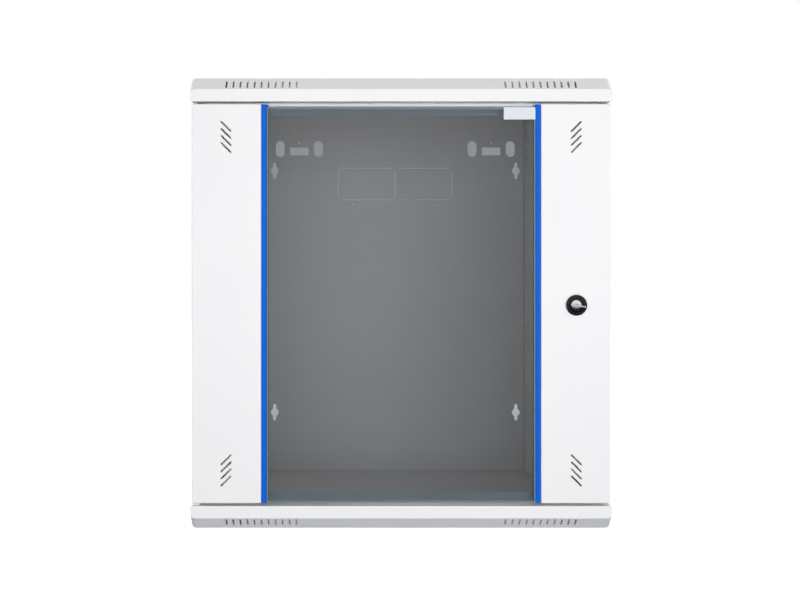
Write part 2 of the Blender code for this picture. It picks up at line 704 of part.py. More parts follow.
def add_stile(cabinet, side, pivot):
    """A shallow steel tray, open at the back: the door's upright panel beside the glass."""
    x0, x1 = sorted((side * STILE_INNER_X, side * DOOR_X))
    name = "door_stile_" + side_name(side)
    stile = cabinet.add(name, box_mesh((x0, DOOR_Y, DOOR_BOTTOM), (x1, DOOR_BACK_Y, DOOR_TOP)), POWDER)
    stile.data.transform(Matrix.Translation(-pivot.location))
    cabinet.put(stile, pivot.location, parent=pivot)
    cabinet.cut_box(
        stile,
        (x0 + SHEET, DOOR_Y + SHEET, DOOR_BOTTOM + SHEET),
        (x1 - SHEET, DOOR_BACK_Y + OVERCUT, DOOR_TOP - SHEET),
    )
    cabinet.cut(stile, stile_vents(side), 2 * OVERCUT, (0, DOOR_Y, MIDDLE_Z), FACING_FRONT)
    inner = side * (STILE_INNER_X + SHEET / 2)
    screws = [circle(TRIM_MIDDLE_Y, z, TRIM_SCREW_RADIUS + GAP, 10) for z in trim_screw_heights()]
    cabinet.cut(stile, screws, 2 * OVERCUT, (inner, 0, 0), FACING_SIDE)
    if side > 0:
        hole = [circle(LOCK.x, LOCK.z, LOCK_BARREL_RADIUS + GAP, 24)]
        cabinet.cut(stile, hole, 2 * OVERCUT, (0, DOOR_Y, 0), FACING_FRONT)
    else:
        hole = [circle(HINGE.x, HINGE.y, HINGE_PIN_RADIUS + GAP, 12)]
        for z in (DOOR_BOTTOM, DOOR_TOP):
            cabinet.cut(stile, hole, 2 * OVERCUT, (0, 0, z), FACING_UP)


def stile_vents(side):
    """Slanting slots near both ends of a stile. They point away from the door's middle line."""
    vent = STILE_VENT
    x = side * (DOOR_X - STILE_VENT_FROM_EDGE)
    outlines = []
    for level in (-1, 1):
        angle = side * level * pi / 4
        for i in range(vent["count"]):
            z = level * STILE_VENT_Z + (i - (vent["count"] - 1) / 2) * vent["pitch"]
            outlines.append(obround(x, z, vent["length"], vent["width"], angle, 3))
    return outlines


GLASS_HALF = STILE_INNER_X - GAP - TRIM_WIDTH - GAP
TRIM_FRONT_Y = GLASS_FRONT_Y - GAP
TRIM_REBATE_Y = GLASS_BACK_Y + GAP
TRIM_BACK_Y = DOOR_BACK_Y - GAP
TRIM_MIDDLE_Y = (TRIM_REBATE_Y + TRIM_BACK_Y) / 2


def trim_screw_heights():
    return DOOR_BOTTOM + TRIM_SCREW_FROM_END, DOOR_TOP - TRIM_SCREW_FROM_END


def add_trim(cabinet, side, pivot):
    """A coloured plastic channel between glass and stile. The pane's edge sits in its rebate."""
    outer = STILE_INNER_X - GAP
    inner = outer - TRIM_WIDTH
    wall = TRIM_WALL
    half_section = [
        (inner, TRIM_FRONT_Y),
        (outer, TRIM_FRONT_Y),
        (outer, TRIM_BACK_Y),
        (outer - wall, TRIM_BACK_Y),
        (outer - wall, TRIM_FRONT_Y + wall),
        (inner + wall, TRIM_FRONT_Y + wall),
        (inner + wall, TRIM_BACK_Y),
        (inner - TRIM_REBATE, TRIM_BACK_Y),
        (inner - TRIM_REBATE, TRIM_REBATE_Y),
        (inner, TRIM_REBATE_Y),
    ]
    section = [(side * x, y) for x, y in half_section]
    length = DOOR_TOP - DOOR_BOTTOM - 2 * TRIM_END_GAP
    trim = cabinet.add("door_trim_" + side_name(side), flat_mesh([section], length), BLUE)
    trim.data.transform(Matrix.Translation(-Vector((pivot.location.x, pivot.location.y, 0))))
    cabinet.put(trim, (pivot.location.x, pivot.location.y, (DOOR_TOP + DOOR_BOTTOM) / 2), parent=pivot)
    screws = [circle(TRIM_MIDDLE_Y, z, TRIM_SCREW_RADIUS + GAP, 10) for z in trim_screw_heights()]
    cabinet.cut(trim, screws, TRIM_WALL * 2, (side * outer, 0, 0), FACING_SIDE)
    for level, z in zip(("bottom", "top"), trim_screw_heights()):
        name = f"trim_screw_{side_name(side)}_{level}"
        reach = SHEET + 3 * GAP + 2 * TRIM_WALL
        steps = [TRIM_SCREW_HEAD, (TRIM_SCREW_RADIUS, reach)]
        screw = cabinet.add(name, turned_mesh(stepped(steps)), ZINC)
        spin(screw, 10)
        x = side * (STILE_INNER_X + SHEET + GAP + TRIM_SCREW_HEAD[1])
        cabinet.put(screw, (x, TRIM_MIDDLE_Y, z), Euler((0, side * pi / 2, 0)), pivot)


def add_glass(cabinet, pivot):
    """The tinted pane, and the plain plate on its upper corner."""
    top = DOOR_TOP - GLASS_TOP_DROP
    bottom = DOOR_BOTTOM + GLASS_BOTTOM_RISE
    height = top - bottom
    sheet = flat_mesh([centred(0, 0, 2 * GLASS_HALF, height)], GLASS_THICKNESS)
    pane = cabinet.add("door_glass", sheet, GLASS)
    middle_y = (GLASS_FRONT_Y + GLASS_BACK_Y) / 2
    cabinet.put(pane, (0, middle_y, (top + bottom) / 2), FACING_FRONT, pivot)
    width, tall, thick = LABEL_SIZE
    label = cabinet.add("label_plate", flat_mesh([centred(0, 0, width, tall)], thick), WHITE)
    x = GLASS_HALF - LABEL_FROM_EDGE - width / 2
    z = top - LABEL_BELOW_GLASS_TOP - tall / 2
    cabinet.put(label, (x, GLASS_FRONT_Y - GAP - thick / 2, z), FACING_FRONT, pivot)


def add_hinge(cabinet):
    """Two headed pins through the covers' rims into the left stile, and the washer below the door."""
    head = HINGE_PIN_HEAD
    reach = GAP + SHEET + DOOR_GAP + SHEET + HINGE_PIN_GRIP
    for level in ("bottom", "top"):
        pin = cabinet.add("hinge_pin_" + level, turned_mesh(stepped([head, (HINGE_PIN_RADIUS, reach)])), ZINC)
        spin(pin, 16)
        start = COVER_HEIGHT - SHEET - GAP - head[1]
        if level == "bottom":
            cabinet.put(pin, (HINGE.x, HINGE.y, start), Euler((pi, 0, 0)))
        else:
            cabinet.put(pin, (HINGE.x, HINGE.y, HEIGHT - start))
    rings = [circle(0, 0, HINGE_WASHER_RADIUS, 20), circle(0, 0, HINGE_PIN_RADIUS + GAP, 12)]
    washer = cabinet.add("hinge_washer", flat_mesh(rings, DOOR_GAP - 2 * GAP), NYLON)
    cabinet.put(washer, (HINGE.x, HINGE.y, COVER_HEIGHT + DOOR_GAP / 2))


# Door lock


def add_lock_housing(cabinet, pivot):
    """A dished bezel in front of the stile, on a barrel that a nut clamps from behind."""
    face = LOCK_BEZEL_RISE
    bore = LOCK_CORE_RADIUS + GAP
    back = -(CAM_Y - DOOR_Y) + 2 * SHEET
    profile = [
        (bore, face - 2 * MM),
        (LOCK_BEZEL_RADIUS - 3 * MM, face),
        (LOCK_BEZEL_RADIUS - 1 * MM, face - 0.6 * MM),
        (LOCK_BEZEL_RADIUS, face - 2.2 * MM),
        (LOCK_BEZEL_RADIUS, GAP),
        (LOCK_BARREL_RADIUS, GAP),
        (LOCK_BARREL_RADIUS, back),
        (bore, back),
    ]
    housing = cabinet.add("lock_housing", turned_mesh(profile, ring=True), BLACK)
    spin(housing, 32)
    cabinet.put(housing, LOCK, FACING_FRONT, pivot)
    across, thickness = LOCK_NUT
    rings = [hexagon(across), circle(0, 0, LOCK_BARREL_RADIUS + GAP, 24)]
    nut = cabinet.add("lock_nut", flat_mesh(rings, thickness), ZINC)
    cabinet.put(nut, LOCK + Vector((0, SHEET + GAP + thickness / 2, 0)), FACING_FRONT, pivot)


def add_lock_core(cabinet, pivot):
    """The plug that the key turns, its square stem, the cam on the stem and the nut that holds it."""
    front = LOCK_BEZEL_RISE - 2.4 * MM
    length = front + (CAM_Y - DOOR_Y) - GAP
    core = cabinet.add("lock_core", turned_mesh(stepped([(LOCK_CORE_RADIUS, length)])), CHROME)
    spin(core, 28)
    cabinet.put(core, LOCK + Vector((0, -front, 0)), Euler((pi / 2, 0, 0)), pivot)
    half = LOCK_STEM / 2
    stem = cabinet.helper("lock_stem", box_mesh((-half, -1 * MM, -half), (half, LOCK_STEM_LENGTH, half)))
    cabinet.put(stem, (LOCK.x, CAM_Y - GAP, LOCK.z))
    cabinet.boolean(core, stem, "UNION")
    width, depth = KEY_BLADE
    slot = (width / 2 + GAP, KEY_THICKNESS / 2 + GAP)
    keyway = cabinet.helper(
        "keyway", box_mesh((-slot[0], -OVERCUT, -slot[1]), (slot[0], depth + 2 * GAP, slot[1]))
    )
    cabinet.put(keyway, LOCK + Vector((0, -front, 0)), Euler((0, KEY_REST_ANGLE, 0)))
    cabinet.boolean(core, keyway, "DIFFERENCE")
    hole = centred(0, 0, LOCK_STEM + 2 * GAP, LOCK_STEM + 2 * GAP)
    lever = flat_mesh([cam_outline(CAM_LENGTH, CAM_WIDTH), hole], CAM_THICKNESS)
    cam = cabinet.add("lock_cam", lever, ZINC)
    cabinet.put(cam, (LOCK.x, CAM_Y + CAM_THICKNESS / 2, LOCK.z), FACING_FRONT, pivot)
    across, thickness = CAM_NUT
    nut_hole = circle(0, 0, LOCK_STEM / sqrt(2) + GAP, 16)
    nut = cabinet.add("cam_nut", flat_mesh([hexagon(across), nut_hole], thickness), ZINC)
    nut_y = CAM_Y + CAM_THICKNESS + GAP + thickness / 2
    cabinet.put(nut, (LOCK.x, nut_y, LOCK.z), FACING_FRONT, pivot)


def key_outline():
    """Blade, neck and round bow, with the bow's outer end furthest up its own Y axis."""
    blade_half = KEY_BLADE[0] / 2
    bow_half, bow_length = KEY_BOW[0] / 2, KEY_BOW[1]
    tip = KEY_BLADE[1] - 2 * GAP
    bite = 0.9 * MM
    teeth = []
    steps = 5
    for i in range(steps):
        y = -tip + (i + 1) * tip / (steps + 1)
        teeth += [(blade_half, y - 1 * MM), (blade_half - bite, y), (blade_half, y + 1 * MM)]
    corner = bow_length / 3
    shoulder = KEY_NECK
    outline = [(-blade_half, -tip + 2 * MM), (-blade_half + 2 * MM, -tip), (blade_half - 2 * MM, -tip)]
    outline += [(blade_half, -tip + 2 * MM), *teeth[1:], (blade_half, shoulder)]
    outline += arc(bow_half - corner, shoulder + corner, corner, -pi / 2, 0, 4)
    outline += arc(bow_half - corner, shoulder + bow_length - corner, corner, 0, pi / 2, 4)
    outline += arc(-bow_half + corner, shoulder + bow_length - corner, corner, pi / 2, pi, 4)
    outline += arc(-bow_half + corner, shoulder + corner, corner, pi, 3 * pi / 2, 4)
    outline.append((-blade_half, shoulder))
    return outline


def add_key(cabinet, pivot):
    """The key as it stands in the lock: its flat sides face up and down, a little turned."""
    hole = circle(0, KEY_NECK + KEY_BOW[1] - 2.2 * KEY_HOLE_RADIUS, KEY_HOLE_RADIUS, 12)
    key = cabinet.add("key", flat_mesh([key_outline(), hole], KEY_THICKNESS), CHROME)
    turn = Matrix.Rotation(KEY_REST_ANGLE, 4, "Y") @ Matrix.Rotation(pi, 4, "X")
    front = LOCK_BEZEL_RISE - 2.4 * MM
    cabinet.put(key, LOCK + Vector((0, -front, 0)), turn.to_euler(), pivot)


# Side panels


def add_side_panel(cabinet, side, pivot):
    """A shallow tray with two hooks that stand in the bottom cover's rim."""
    x0, x1 = sorted((side * (DOOR_X - PANEL_RETURN), side * DOOR_X))
    low = Vector((x0, STOP_Y - GAP, PANEL_BOTTOM))
    high = Vector((x1, BACK_Y, PANEL_TOP))
    panel = cabinet.add("side_panel_" + side_name(side), box_mesh(low, high), POWDER)
    panel.data.transform(Matrix.Translation(-pivot.location))
    cabinet.put(panel, pivot.location, parent=pivot)
    t = Vector((0, PANEL_SHEET, PANEL_SHEET))
    inner_low, inner_high = low + t, high - t
    if side < 0:
        inner_low.x += PANEL_SHEET
        inner_high.x += OVERCUT
    else:
        inner_low.x -= OVERCUT
        inner_high.x -= PANEL_SHEET
    cabinet.cut_box(panel, inner_low, inner_high)
    hook_x = sorted((side * (DOOR_X - HOOK_INSET), side * (DOOR_X - HOOK_INSET - PANEL_SHEET)))
    for y in (-HOOK_Y, HOOK_Y):
        half = HOOK[0] / 2
        bottom = PANEL_BOTTOM - HOOK[1]
        cabinet.join_box(
            panel, (hook_x[0], y - half, bottom), (hook_x[1], y + half, PANEL_BOTTOM + PANEL_SHEET / 2)
        )
    hole = [circle(0, LATCH_Z, LATCH_BARREL_RADIUS + GAP, 20)]
    cabinet.cut(panel, hole, 2 * OVERCUT, (side * DOOR_X, 0, 0), FACING_SIDE)


def add_latch(cabinet, side, panel_pivot):
    """A flush housing, the slotted knob that turns in it and the cam behind."""
    outward = Euler((0, side * pi / 2, 0))
    centre = Vector((side * DOOR_X, 0, LATCH_Z))
    bore = LATCH_KNOB_RADIUS + GAP
    face = GAP + LATCH_FLANGE
    profile = [
        (bore, face),
        (LATCH_FLANGE_RADIUS, face),
        (LATCH_FLANGE_RADIUS, GAP),
        (LATCH_BARREL_RADIUS, GAP),
        (LATCH_BARREL_RADIUS, -LATCH_BARREL_LENGTH),
        (bore, -LATCH_BARREL_LENGTH),
    ]
    housing = cabinet.add("latch_housing_" + side_name(side), turned_mesh(profile, ring=True), BLACK)
    spin(housing, 24)
    cabinet.put(housing, centre, outward, panel_pivot)
    pivot = cabinet.pivot("latch_pivot_" + side_name(side), centre, panel_pivot)
    cam_x = SHELF_X - SHEET - GAP - CAM_THICKNESS  # inner face of the cam, clear of the side stop
    knob_length = LATCH_BARREL_LENGTH + face - GAP
    pin = turned_mesh(stepped([(LATCH_KNOB_RADIUS, knob_length)]))
    knob = cabinet.add("latch_knob_" + side_name(side), pin, ZINC)
    spin(knob, 20)
    cabinet.put(knob, centre + Vector((side * (face - GAP), 0, 0)), outward, pivot)
    half = LATCH_STEM / 2
    ends = sorted((side * (cam_x - 1 * MM), side * (DOOR_X - LATCH_BARREL_LENGTH + 1 * MM)))
    stem = cabinet.helper(
        "latch_stem", box_mesh((ends[0], -half, LATCH_Z - half), (ends[1], half, LATCH_Z + half))
    )
    cabinet.boolean(knob, stem, "UNION")
    width, depth = COIN_SLOT
    slot_x = sorted((side * (DOOR_X + face - GAP - depth), side * (DOOR_X + OVERCUT)))
    reach = LATCH_KNOB_RADIUS + OVERCUT
    cabinet.cut_box(
        knob, (slot_x[0], -reach, LATCH_Z - width / 2), (slot_x[1], reach, LATCH_Z + width / 2)
    )
    hole = centred(0, 0, LATCH_STEM + 2 * GAP, LATCH_STEM + 2 * GAP)
    outline = [cam_outline(LATCH_CAM_LENGTH, LATCH_CAM_WIDTH), hole]
    cam = cabinet.add("latch_cam_" + side_name(side), flat_mesh(outline, CAM_THICKNESS), ZINC)
    # At rest the cam lies level, its end towards the back of the cabinet.
    lies_back = Euler((pi / 2, 0, pi / 2)).to_matrix() @ Matrix.Rotation(-pi / 2, 3, "Z")
    cabinet.put(cam, (side * (cam_x + CAM_THICKNESS / 2), 0, LATCH_Z), lies_back.to_euler(), pivot)


def main():
    clear_scene()
    cabinet = Cabinet()
    add_cover(cabinet, "bottom_cover", BOTTOM_DOOR_STOP, HINGE.x)
    top = add_cover(cabinet, "top_cover", TOP_DOOR_STOP, -HINGE.x)
    turn_over(top)
    add_back_panel(cabinet)
    add_earth_stud(cabinet)
    add_hinge(cabinet)
    door = cabinet.pivot("door_pivot", HINGE)
    add_glass(cabinet, door)
    add_lock_housing(cabinet, door)
    lock = cabinet.pivot("lock_pivot", LOCK, door)
    add_lock_core(cabinet, lock)
    key = cabinet.pivot("key_pivot", LOCK, lock)
    add_key(cabinet, key)
    for side in (-1, 1):
        add_post(cabinet, side)
        add_stile(cabinet, side, door)
        add_trim(cabinet, side, door)
        for level in ("bottom", "top"):
            add_channel(cabinet, side, level)
        add_rail(cabinet, side, "front", FRONT_RAIL_SETBACK)
        add_rail(cabinet, side, "rear", REAR_RAIL_SETBACK)
        panel = cabinet.pivot("side_pivot_" + side_name(side), (side * DOOR_X, 0, PANEL_BOTTOM))
        add_side_panel(cabinet, side, panel)
        add_latch(cabinet, side, panel)


def turn_over(cover):
    """The top cover is the bottom one turned over from side to side. Its helpers turn with it."""
    cover.rotation_euler = (0, pi, 0)
    cover.location.z = HEIGHT
    for step in cover.modifiers:
        helper = step.object
        matrix = Matrix.Translation((0, 0, HEIGHT)) @ Matrix.Rotation(pi, 4, "Y")
        helper.matrix_world = matrix @ Matrix.LocRotScale(helper.location, helper.rotation_euler, None)


main()
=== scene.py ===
"""The finish of a wall-hung network cabinet: folded and powder-coated sheet metal with rounded bends,
pierced rails, a tinted glass door on blue trims, a key lock, and side panels with coin latches.
Metres, +Z up, the door faces -Y.
"""

import json
from math import cos, pi, radians, sin

import bmesh
import bpy
from bpy.props import FloatProperty, FloatVectorProperty, IntProperty, PointerProperty
from mathutils import Euler, Matrix, Vector

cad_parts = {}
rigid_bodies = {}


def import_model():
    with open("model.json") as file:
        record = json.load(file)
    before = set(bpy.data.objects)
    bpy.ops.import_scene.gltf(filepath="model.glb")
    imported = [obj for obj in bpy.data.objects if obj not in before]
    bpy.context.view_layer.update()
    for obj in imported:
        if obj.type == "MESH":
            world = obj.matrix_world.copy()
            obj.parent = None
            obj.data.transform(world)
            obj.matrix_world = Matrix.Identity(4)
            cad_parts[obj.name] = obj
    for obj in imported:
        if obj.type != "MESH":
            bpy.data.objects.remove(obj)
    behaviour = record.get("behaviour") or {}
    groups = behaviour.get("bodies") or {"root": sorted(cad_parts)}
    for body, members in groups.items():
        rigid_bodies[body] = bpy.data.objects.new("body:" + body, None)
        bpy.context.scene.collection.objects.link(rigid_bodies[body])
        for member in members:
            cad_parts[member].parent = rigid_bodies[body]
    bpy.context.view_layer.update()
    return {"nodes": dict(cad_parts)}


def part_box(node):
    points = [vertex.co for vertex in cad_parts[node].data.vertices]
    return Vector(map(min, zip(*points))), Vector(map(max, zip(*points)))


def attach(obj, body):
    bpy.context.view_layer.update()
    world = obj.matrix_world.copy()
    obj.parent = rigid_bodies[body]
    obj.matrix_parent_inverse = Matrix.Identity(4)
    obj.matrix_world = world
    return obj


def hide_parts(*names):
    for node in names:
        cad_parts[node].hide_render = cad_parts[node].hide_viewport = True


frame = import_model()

bl_info = {
    "name": "Network cabinet finish",
    "version": (1, 0, 0),
    "blender": (4, 5, 0),
    "location": "View3D > Sidebar > Cabinet",
    "description": "Builds the visible surfaces of a wall-hung network cabinet around its packed frame",
    "category": "Object",
}

MM = 0.001
SIDES = {"left": -1, "right": 1}
LEVELS = ("bottom", "top")

# Nodes that keep their shape and only gain rounded folds and edges: node names by body
SHEET_NODES = {
    "cabinet": ["top_cover", "bottom_cover", "back_panel"]
    + [f"front_post_{side}" for side in SIDES]
    + [f"side_channel_{level}_{side}" for level in LEVELS for side in SIDES],
    "panel_left": ["side_panel_left"],
    "panel_right": ["side_panel_right"],
}


# Sizes and colours that a user would change


class CabinetFinish(bpy.types.PropertyGroup):
    """Sizes of the rounded edges and colours of the finishes."""

    fold_radius: FloatProperty(
        name="Fold radius", description="Rounding of the long sheet-metal folds", default=1.1 * MM, unit="LENGTH"
    )
    edge_radius: FloatProperty(
        name="Edge radius", description="Rounding of cut edges and holes", default=0.22 * MM, unit="LENGTH"
    )
    coat_colour: FloatVectorProperty(
        name="Powder coat", description="Colour of the steel parts", subtype="COLOR", default=(0.805, 0.80, 0.79)
    )
    trim_colour: FloatVectorProperty(
        name="Trim", description="Colour of the strips beside the glass", subtype="COLOR", default=(0.0005, 0.105, 0.64)
    )
    glass_tint: FloatVectorProperty(
        name="Glass tint", description="Light that one face of the glass lets through", subtype="COLOR",
        default=(0.575, 0.61, 0.63),
    )
    rack_units: IntProperty(name="Rack units", description="Groups of three holes in a rail", default=12, min=1)
    rack_unit: FloatProperty(
        name="Rack unit", description="Height of one group of holes", default=44.45 * MM, unit="LENGTH"
    )
    rack_hole: FloatProperty(
        name="Rack hole", description="Side of a square hole", default=9.5 * MM, unit="LENGTH"
    )
    rack_hole_offset: FloatProperty(
        name="Outer hole offset", description="From a unit's middle to its outer holes", default=15.875 * MM,
        unit="LENGTH",
    )
    rack_hole_spacing: FloatProperty(
        name="Hole spacing", description="Between the left and right rows of holes", default=465.1 * MM,
        unit="LENGTH",
    )
    vent_pitch: FloatProperty(
        name="Door vent pitch", description="Between the door's slanting slots", default=10 * MM, unit="LENGTH"
    )


def finish():
    return bpy.context.scene.cabinet_finish


# Shader nodes written as expressions


class Value:
    """A socket of a node tree, with arithmetic that adds Math nodes."""

    def __init__(self, tree, socket):
        self.tree = tree
        self.socket = socket

    def math(self, operation, *others):
        node = self.tree.nodes.new("ShaderNodeMath")
        node.operation = operation
        for place, value in zip(node.inputs, (self, *others)):
            plug(self.tree, place, value)
        return Value(self.tree, node.outputs[0])

    def __add__(self, other):
        return self.math("ADD", other)

    def __mul__(self, other):
        return self.math("MULTIPLY", other)

    def __rsub__(self, other):
        node = self.tree.nodes.new("ShaderNodeMath")
        node.operation = "SUBTRACT"
        plug(self.tree, node.inputs[0], other)
        plug(self.tree, node.inputs[1], self)
        return Value(self.tree, node.outputs[0])

    __radd__ = __add__
    __rmul__ = __mul__


def plug(tree, socket, value):
    if isinstance(value, Value):
        tree.links.new(value.socket, socket)
    else:
        socket.default_value = value


class Surface:
    """A new material's node tree, with one method that makes any node."""

    def __init__(self, name, roughness=0.5, metallic=0.0, colour=(0.5, 0.5, 0.5)):
        self.material = bpy.data.materials.new(name)
        self.material.use_nodes = True
        self.tree = self.material.node_tree
        self.shader = self.tree.nodes["Principled BSDF"]
        self.output = self.tree.nodes["Material Output"]
        self.set(**{"Base Color": (*colour, 1), "Roughness": roughness, "Metallic": metallic})
        self.material.diffuse_color = (*colour, 1)

    def set(self, **values):
        for name, value in values.items():
            plug(self.tree, self.shader.inputs[name], value)

    def make(self, kind, settings=None, inputs=None, output=0):
        node = self.tree.nodes.new("ShaderNode" + kind)
        for name, value in (settings or {}).items():
            setattr(node, name, value)
        for name, value in (inputs or {}).items():
            plug(self.tree, node.inputs[name], value)
        return Value(self.tree, node.outputs[output])

    def place(self, scale=(1, 1, 1), turn=(0, 0, 0)):
        """Object coordinates, stretched and turned."""
        coordinate = self.make("TexCoord", output="Object")
        return self.make("Mapping", inputs={"Vector": coordinate, "Scale": scale, "Rotation": turn})

    def noise(self, scale, detail=2.0, where=None):
        inputs = {"Vector": where or self.place(), "Scale": scale, "Detail": detail}
        return self.make("TexNoise", inputs=inputs)

    def blend(self, mask, first, second):
        """A colour between two others."""
        inputs = {"Factor": mask, "A": (*first, 1), "B": (*second, 1)}
        node = self.tree.nodes.new("ShaderNodeMix")
        node.data_type = "RGBA"
        for name, value in inputs.items():
            socket = next(s for s in node.inputs if s.name == name and s.enabled)
            plug(self.tree, socket, value)
        return Value(self.tree, next(s for s in node.outputs if s.enabled))

    def bump(self, height, distance, strength=1.0):
        inputs = {"Height": height, "Distance": distance, "Strength": strength}
        self.set(Normal=self.make("Bump", inputs=inputs))


def powder_coat():
    """Satin powder coat: a fine orange peel, a little unevenness in gloss, and faint handling marks."""
    r, g, b = finish().coat_colour
    made = Surface("powder_coat", colour=(r, g, b))
    peel = made.noise(620, 2.0)
    grain = made.noise(2600, 1.0)
    cloud = made.noise(5.0, 3.0)
    marks = made.noise(38, 4.0, made.place(scale=(1.0, 1.0, 0.35)))
    worn = (r * 0.95, g * 0.955, b * 0.965)
    made.set(**{"Base Color": made.blend(cloud * 0.6 + marks * 0.25, (r, g, b), worn)})
    made.set(Roughness=0.36 + cloud * 0.08 + grain * 0.06)
    made.bump(peel + grain * 0.35, 0.00006, 0.55)
    return made.material


def zinc():
    """Bright zinc plate with a faint cast and a drawn grain."""
    made = Surface("zinc_plate", metallic=1.0)
    cast = made.noise(180, 3.0)
    grain = made.noise(900, 2.0, made.place(scale=(1.0, 1.0, 0.2)))
    made.set(**{"Base Color": made.blend(cast, (0.66, 0.66, 0.64), (0.52, 0.55, 0.6))})
    made.set(Roughness=0.22 + grain * 0.2)
    made.bump(grain, 0.00002, 0.5)
    return made.material


def chrome():
    """Polished plating with hairline wear."""
    made = Surface("chrome", metallic=1.0, colour=(0.82, 0.83, 0.85))
    hairs = made.noise(1500, 2.0, made.place(scale=(0.15, 1.0, 1.0), turn=(0, radians(12), 0)))
    made.set(Roughness=0.05 + hairs * 0.14)
    made.bump(hairs, 0.00001, 0.3)
    return made.material


def black_gloss():
    """The lock housings' black lacquer."""
    made = Surface("black_lacquer", colour=(0.008, 0.008, 0.01))
    flow = made.noise(240, 2.0)
    made.set(**{"Roughness": 0.2 + flow * 0.1, "Specular IOR Level": 0.3, "Coat Weight": 0.12})
    made.bump(flow, 0.00003, 0.35)
    return made.material


def blue_trim():
    """Extruded plastic: satin, with fine draw lines along its length."""
    r, g, b = finish().trim_colour
    made = Surface("blue_trim", colour=(r, g, b))
    lines = made.noise(2200, 2.0, made.place(scale=(1.0, 1.0, 0.004)))
    cloud = made.noise(30, 2.0)
    made.set(**{"Base Color": made.blend(cloud * 0.5, (r, g, b), (r + 0.003, g * 1.12, b * 0.9))})
    made.set(**{"Roughness": 0.3 + lines * 0.16, "Specular IOR Level": 0.1})
    made.bump(lines, 0.00003, 0.4)
    return made.material


def nylon():
    made = Surface("nylon", colour=(0.72, 0.71, 0.66))
    grain = made.noise(900, 2.0)
    made.set(**{"Roughness": 0.42 + grain * 0.15, "Subsurface Weight": 0.1})
    made.bump(grain, 0.00003, 0.4)
    return made.material


def label_film():
    """A blank printed-film plate."""
    made = Surface("label_film", colour=(0.62, 0.63, 0.67))
    grain = made.noise(700, 2.0)
    made.set(**{"Base Color": made.blend(grain, (0.60, 0.61, 0.65), (0.66, 0.67, 0.7))})
    made.set(Roughness=0.28 + grain * 0.1)
    made.bump(grain, 0.00002, 0.3)
    return made.material


def tinted_glass():
    """Grey glass: each face lets a tinted share of the light through and mirrors the rest."""
    made = Surface("tinted_glass", roughness=0.02, metallic=1.0, colour=(0.86, 0.9, 0.9))
    clear = made.make("BsdfTransparent", inputs={"Color": (*finish().glass_tint, 1)})
    mirror = Value(made.tree, made.shader.outputs[0])
    facing = made.make("LayerWeight", inputs={"Blend": 0.5}, output=1)
    share = facing.math("POWER", 5.0) * 0.96 + 0.04
    mix = made.tree.nodes.new("ShaderNodeMixShader")
    for place, value in zip(mix.inputs, (share, clear, mirror)):
        plug(made.tree, place, value)
    made.tree.links.new(mix.outputs[0], made.output.inputs["Surface"])
    return made.material


def ground_edge():
    """The glass's ground and polished rim, where the green of the glass gathers."""
    made = Surface("glass_edge", colour=(0.16, 0.25, 0.24))
    grind = made.noise(1400, 3.0)
    made.set(**{"Base Color": made.blend(grind, (0.11, 0.18, 0.18), (0.2, 0.29, 0.28))})
    made.set(Roughness=0.3 + grind * 0.2)
    made.bump(grind, 0.00004, 0.4)
    return made.material


MAKERS = {
    "powder_coat": powder_coat,
    "zinc_plate": zinc,
    "chrome": chrome,
    "black_lock": black_gloss,
    "blue_trim": blue_trim,
    "nylon": nylon,
    "white_label": label_film,
    "tinted_glass": tinted_glass,
    "glass_edge": ground_edge,
}
MADE = {}


def material(slot):
    if slot not in MADE:
        MADE[slot] = MAKERS[slot]()
    return MADE[slot]


# Meshes


def mesh_of(shape, name):
    mesh = bpy.data.meshes.new(name)
    shape.to_mesh(mesh)
    shape.free()
    return mesh


def new_object(name, mesh):
    item = bpy.data.objects.new(name, mesh)
    bpy.context.scene.collection.objects.link(item)
    return item


def welded(node):
    """A frame node's shape as whole flat faces, with its loose triangles merged."""
    source = frame["nodes"][node].data
    mesh = bpy.data.meshes.new(node)
    mesh.from_pydata([v.co[:] for v in source.vertices], [], [p.vertices[:] for p in source.polygons])
    shape = bmesh.new()
    shape.from_mesh(mesh)
    bpy.data.meshes.remove(mesh)
    bmesh.ops.remove_doubles(shape, verts=shape.verts, dist=0.003 * MM)
    bmesh.ops.dissolve_limit(shape, angle_limit=radians(1.5), verts=shape.verts, edges=shape.edges)
    bmesh.ops.connect_verts_concave(shape, faces=shape.faces)
    return shape


def narrow(face):
    """Whether a face is the cut edge of a sheet, too narrow for a fold's radius."""
    longest = max(e.calc_length() for e in face.edges)
    return face.calc_area() < longest * 3.5 * MM


def fold(shape, radius):
    """Rounds the long bends of folded sheet, and leaves the sheet's cut edges."""
    bends = [
        e
        for e in shape.edges
        if len(e.link_faces) == 2
        and e.calc_length() > 50 * MM
        and e.calc_face_angle(0) > radians(40)
        and not any(narrow(f) for f in e.link_faces)
    ]
    if bends:
        bmesh.ops.bevel(
            shape, geom=bends, offset=radius, offset_type="OFFSET", segments=3, profile=0.5, affect="EDGES",
            clamp_overlap=True,
        )


def soften(item, width, segments=2, limit=34):
    """Rounds what is still sharp and shades the rest smooth, with flat faces kept flat."""
    for face in item.data.polygons:
        face.use_smooth = True
    edge = item.modifiers.new("edges", "BEVEL")
    edge.width = width
    edge.segments = segments
    edge.limit_method = "ANGLE"
    edge.angle_limit = radians(limit)
    edge.use_clamp_overlap = True
    edge.miter_outer = "MITER_ARC"
    edge.face_strength_mode = "FSTR_ALL"
    flat = item.modifiers.new("flat_faces", "WEIGHTED_NORMAL")
    flat.keep_sharp = True
    flat.use_face_influence = True


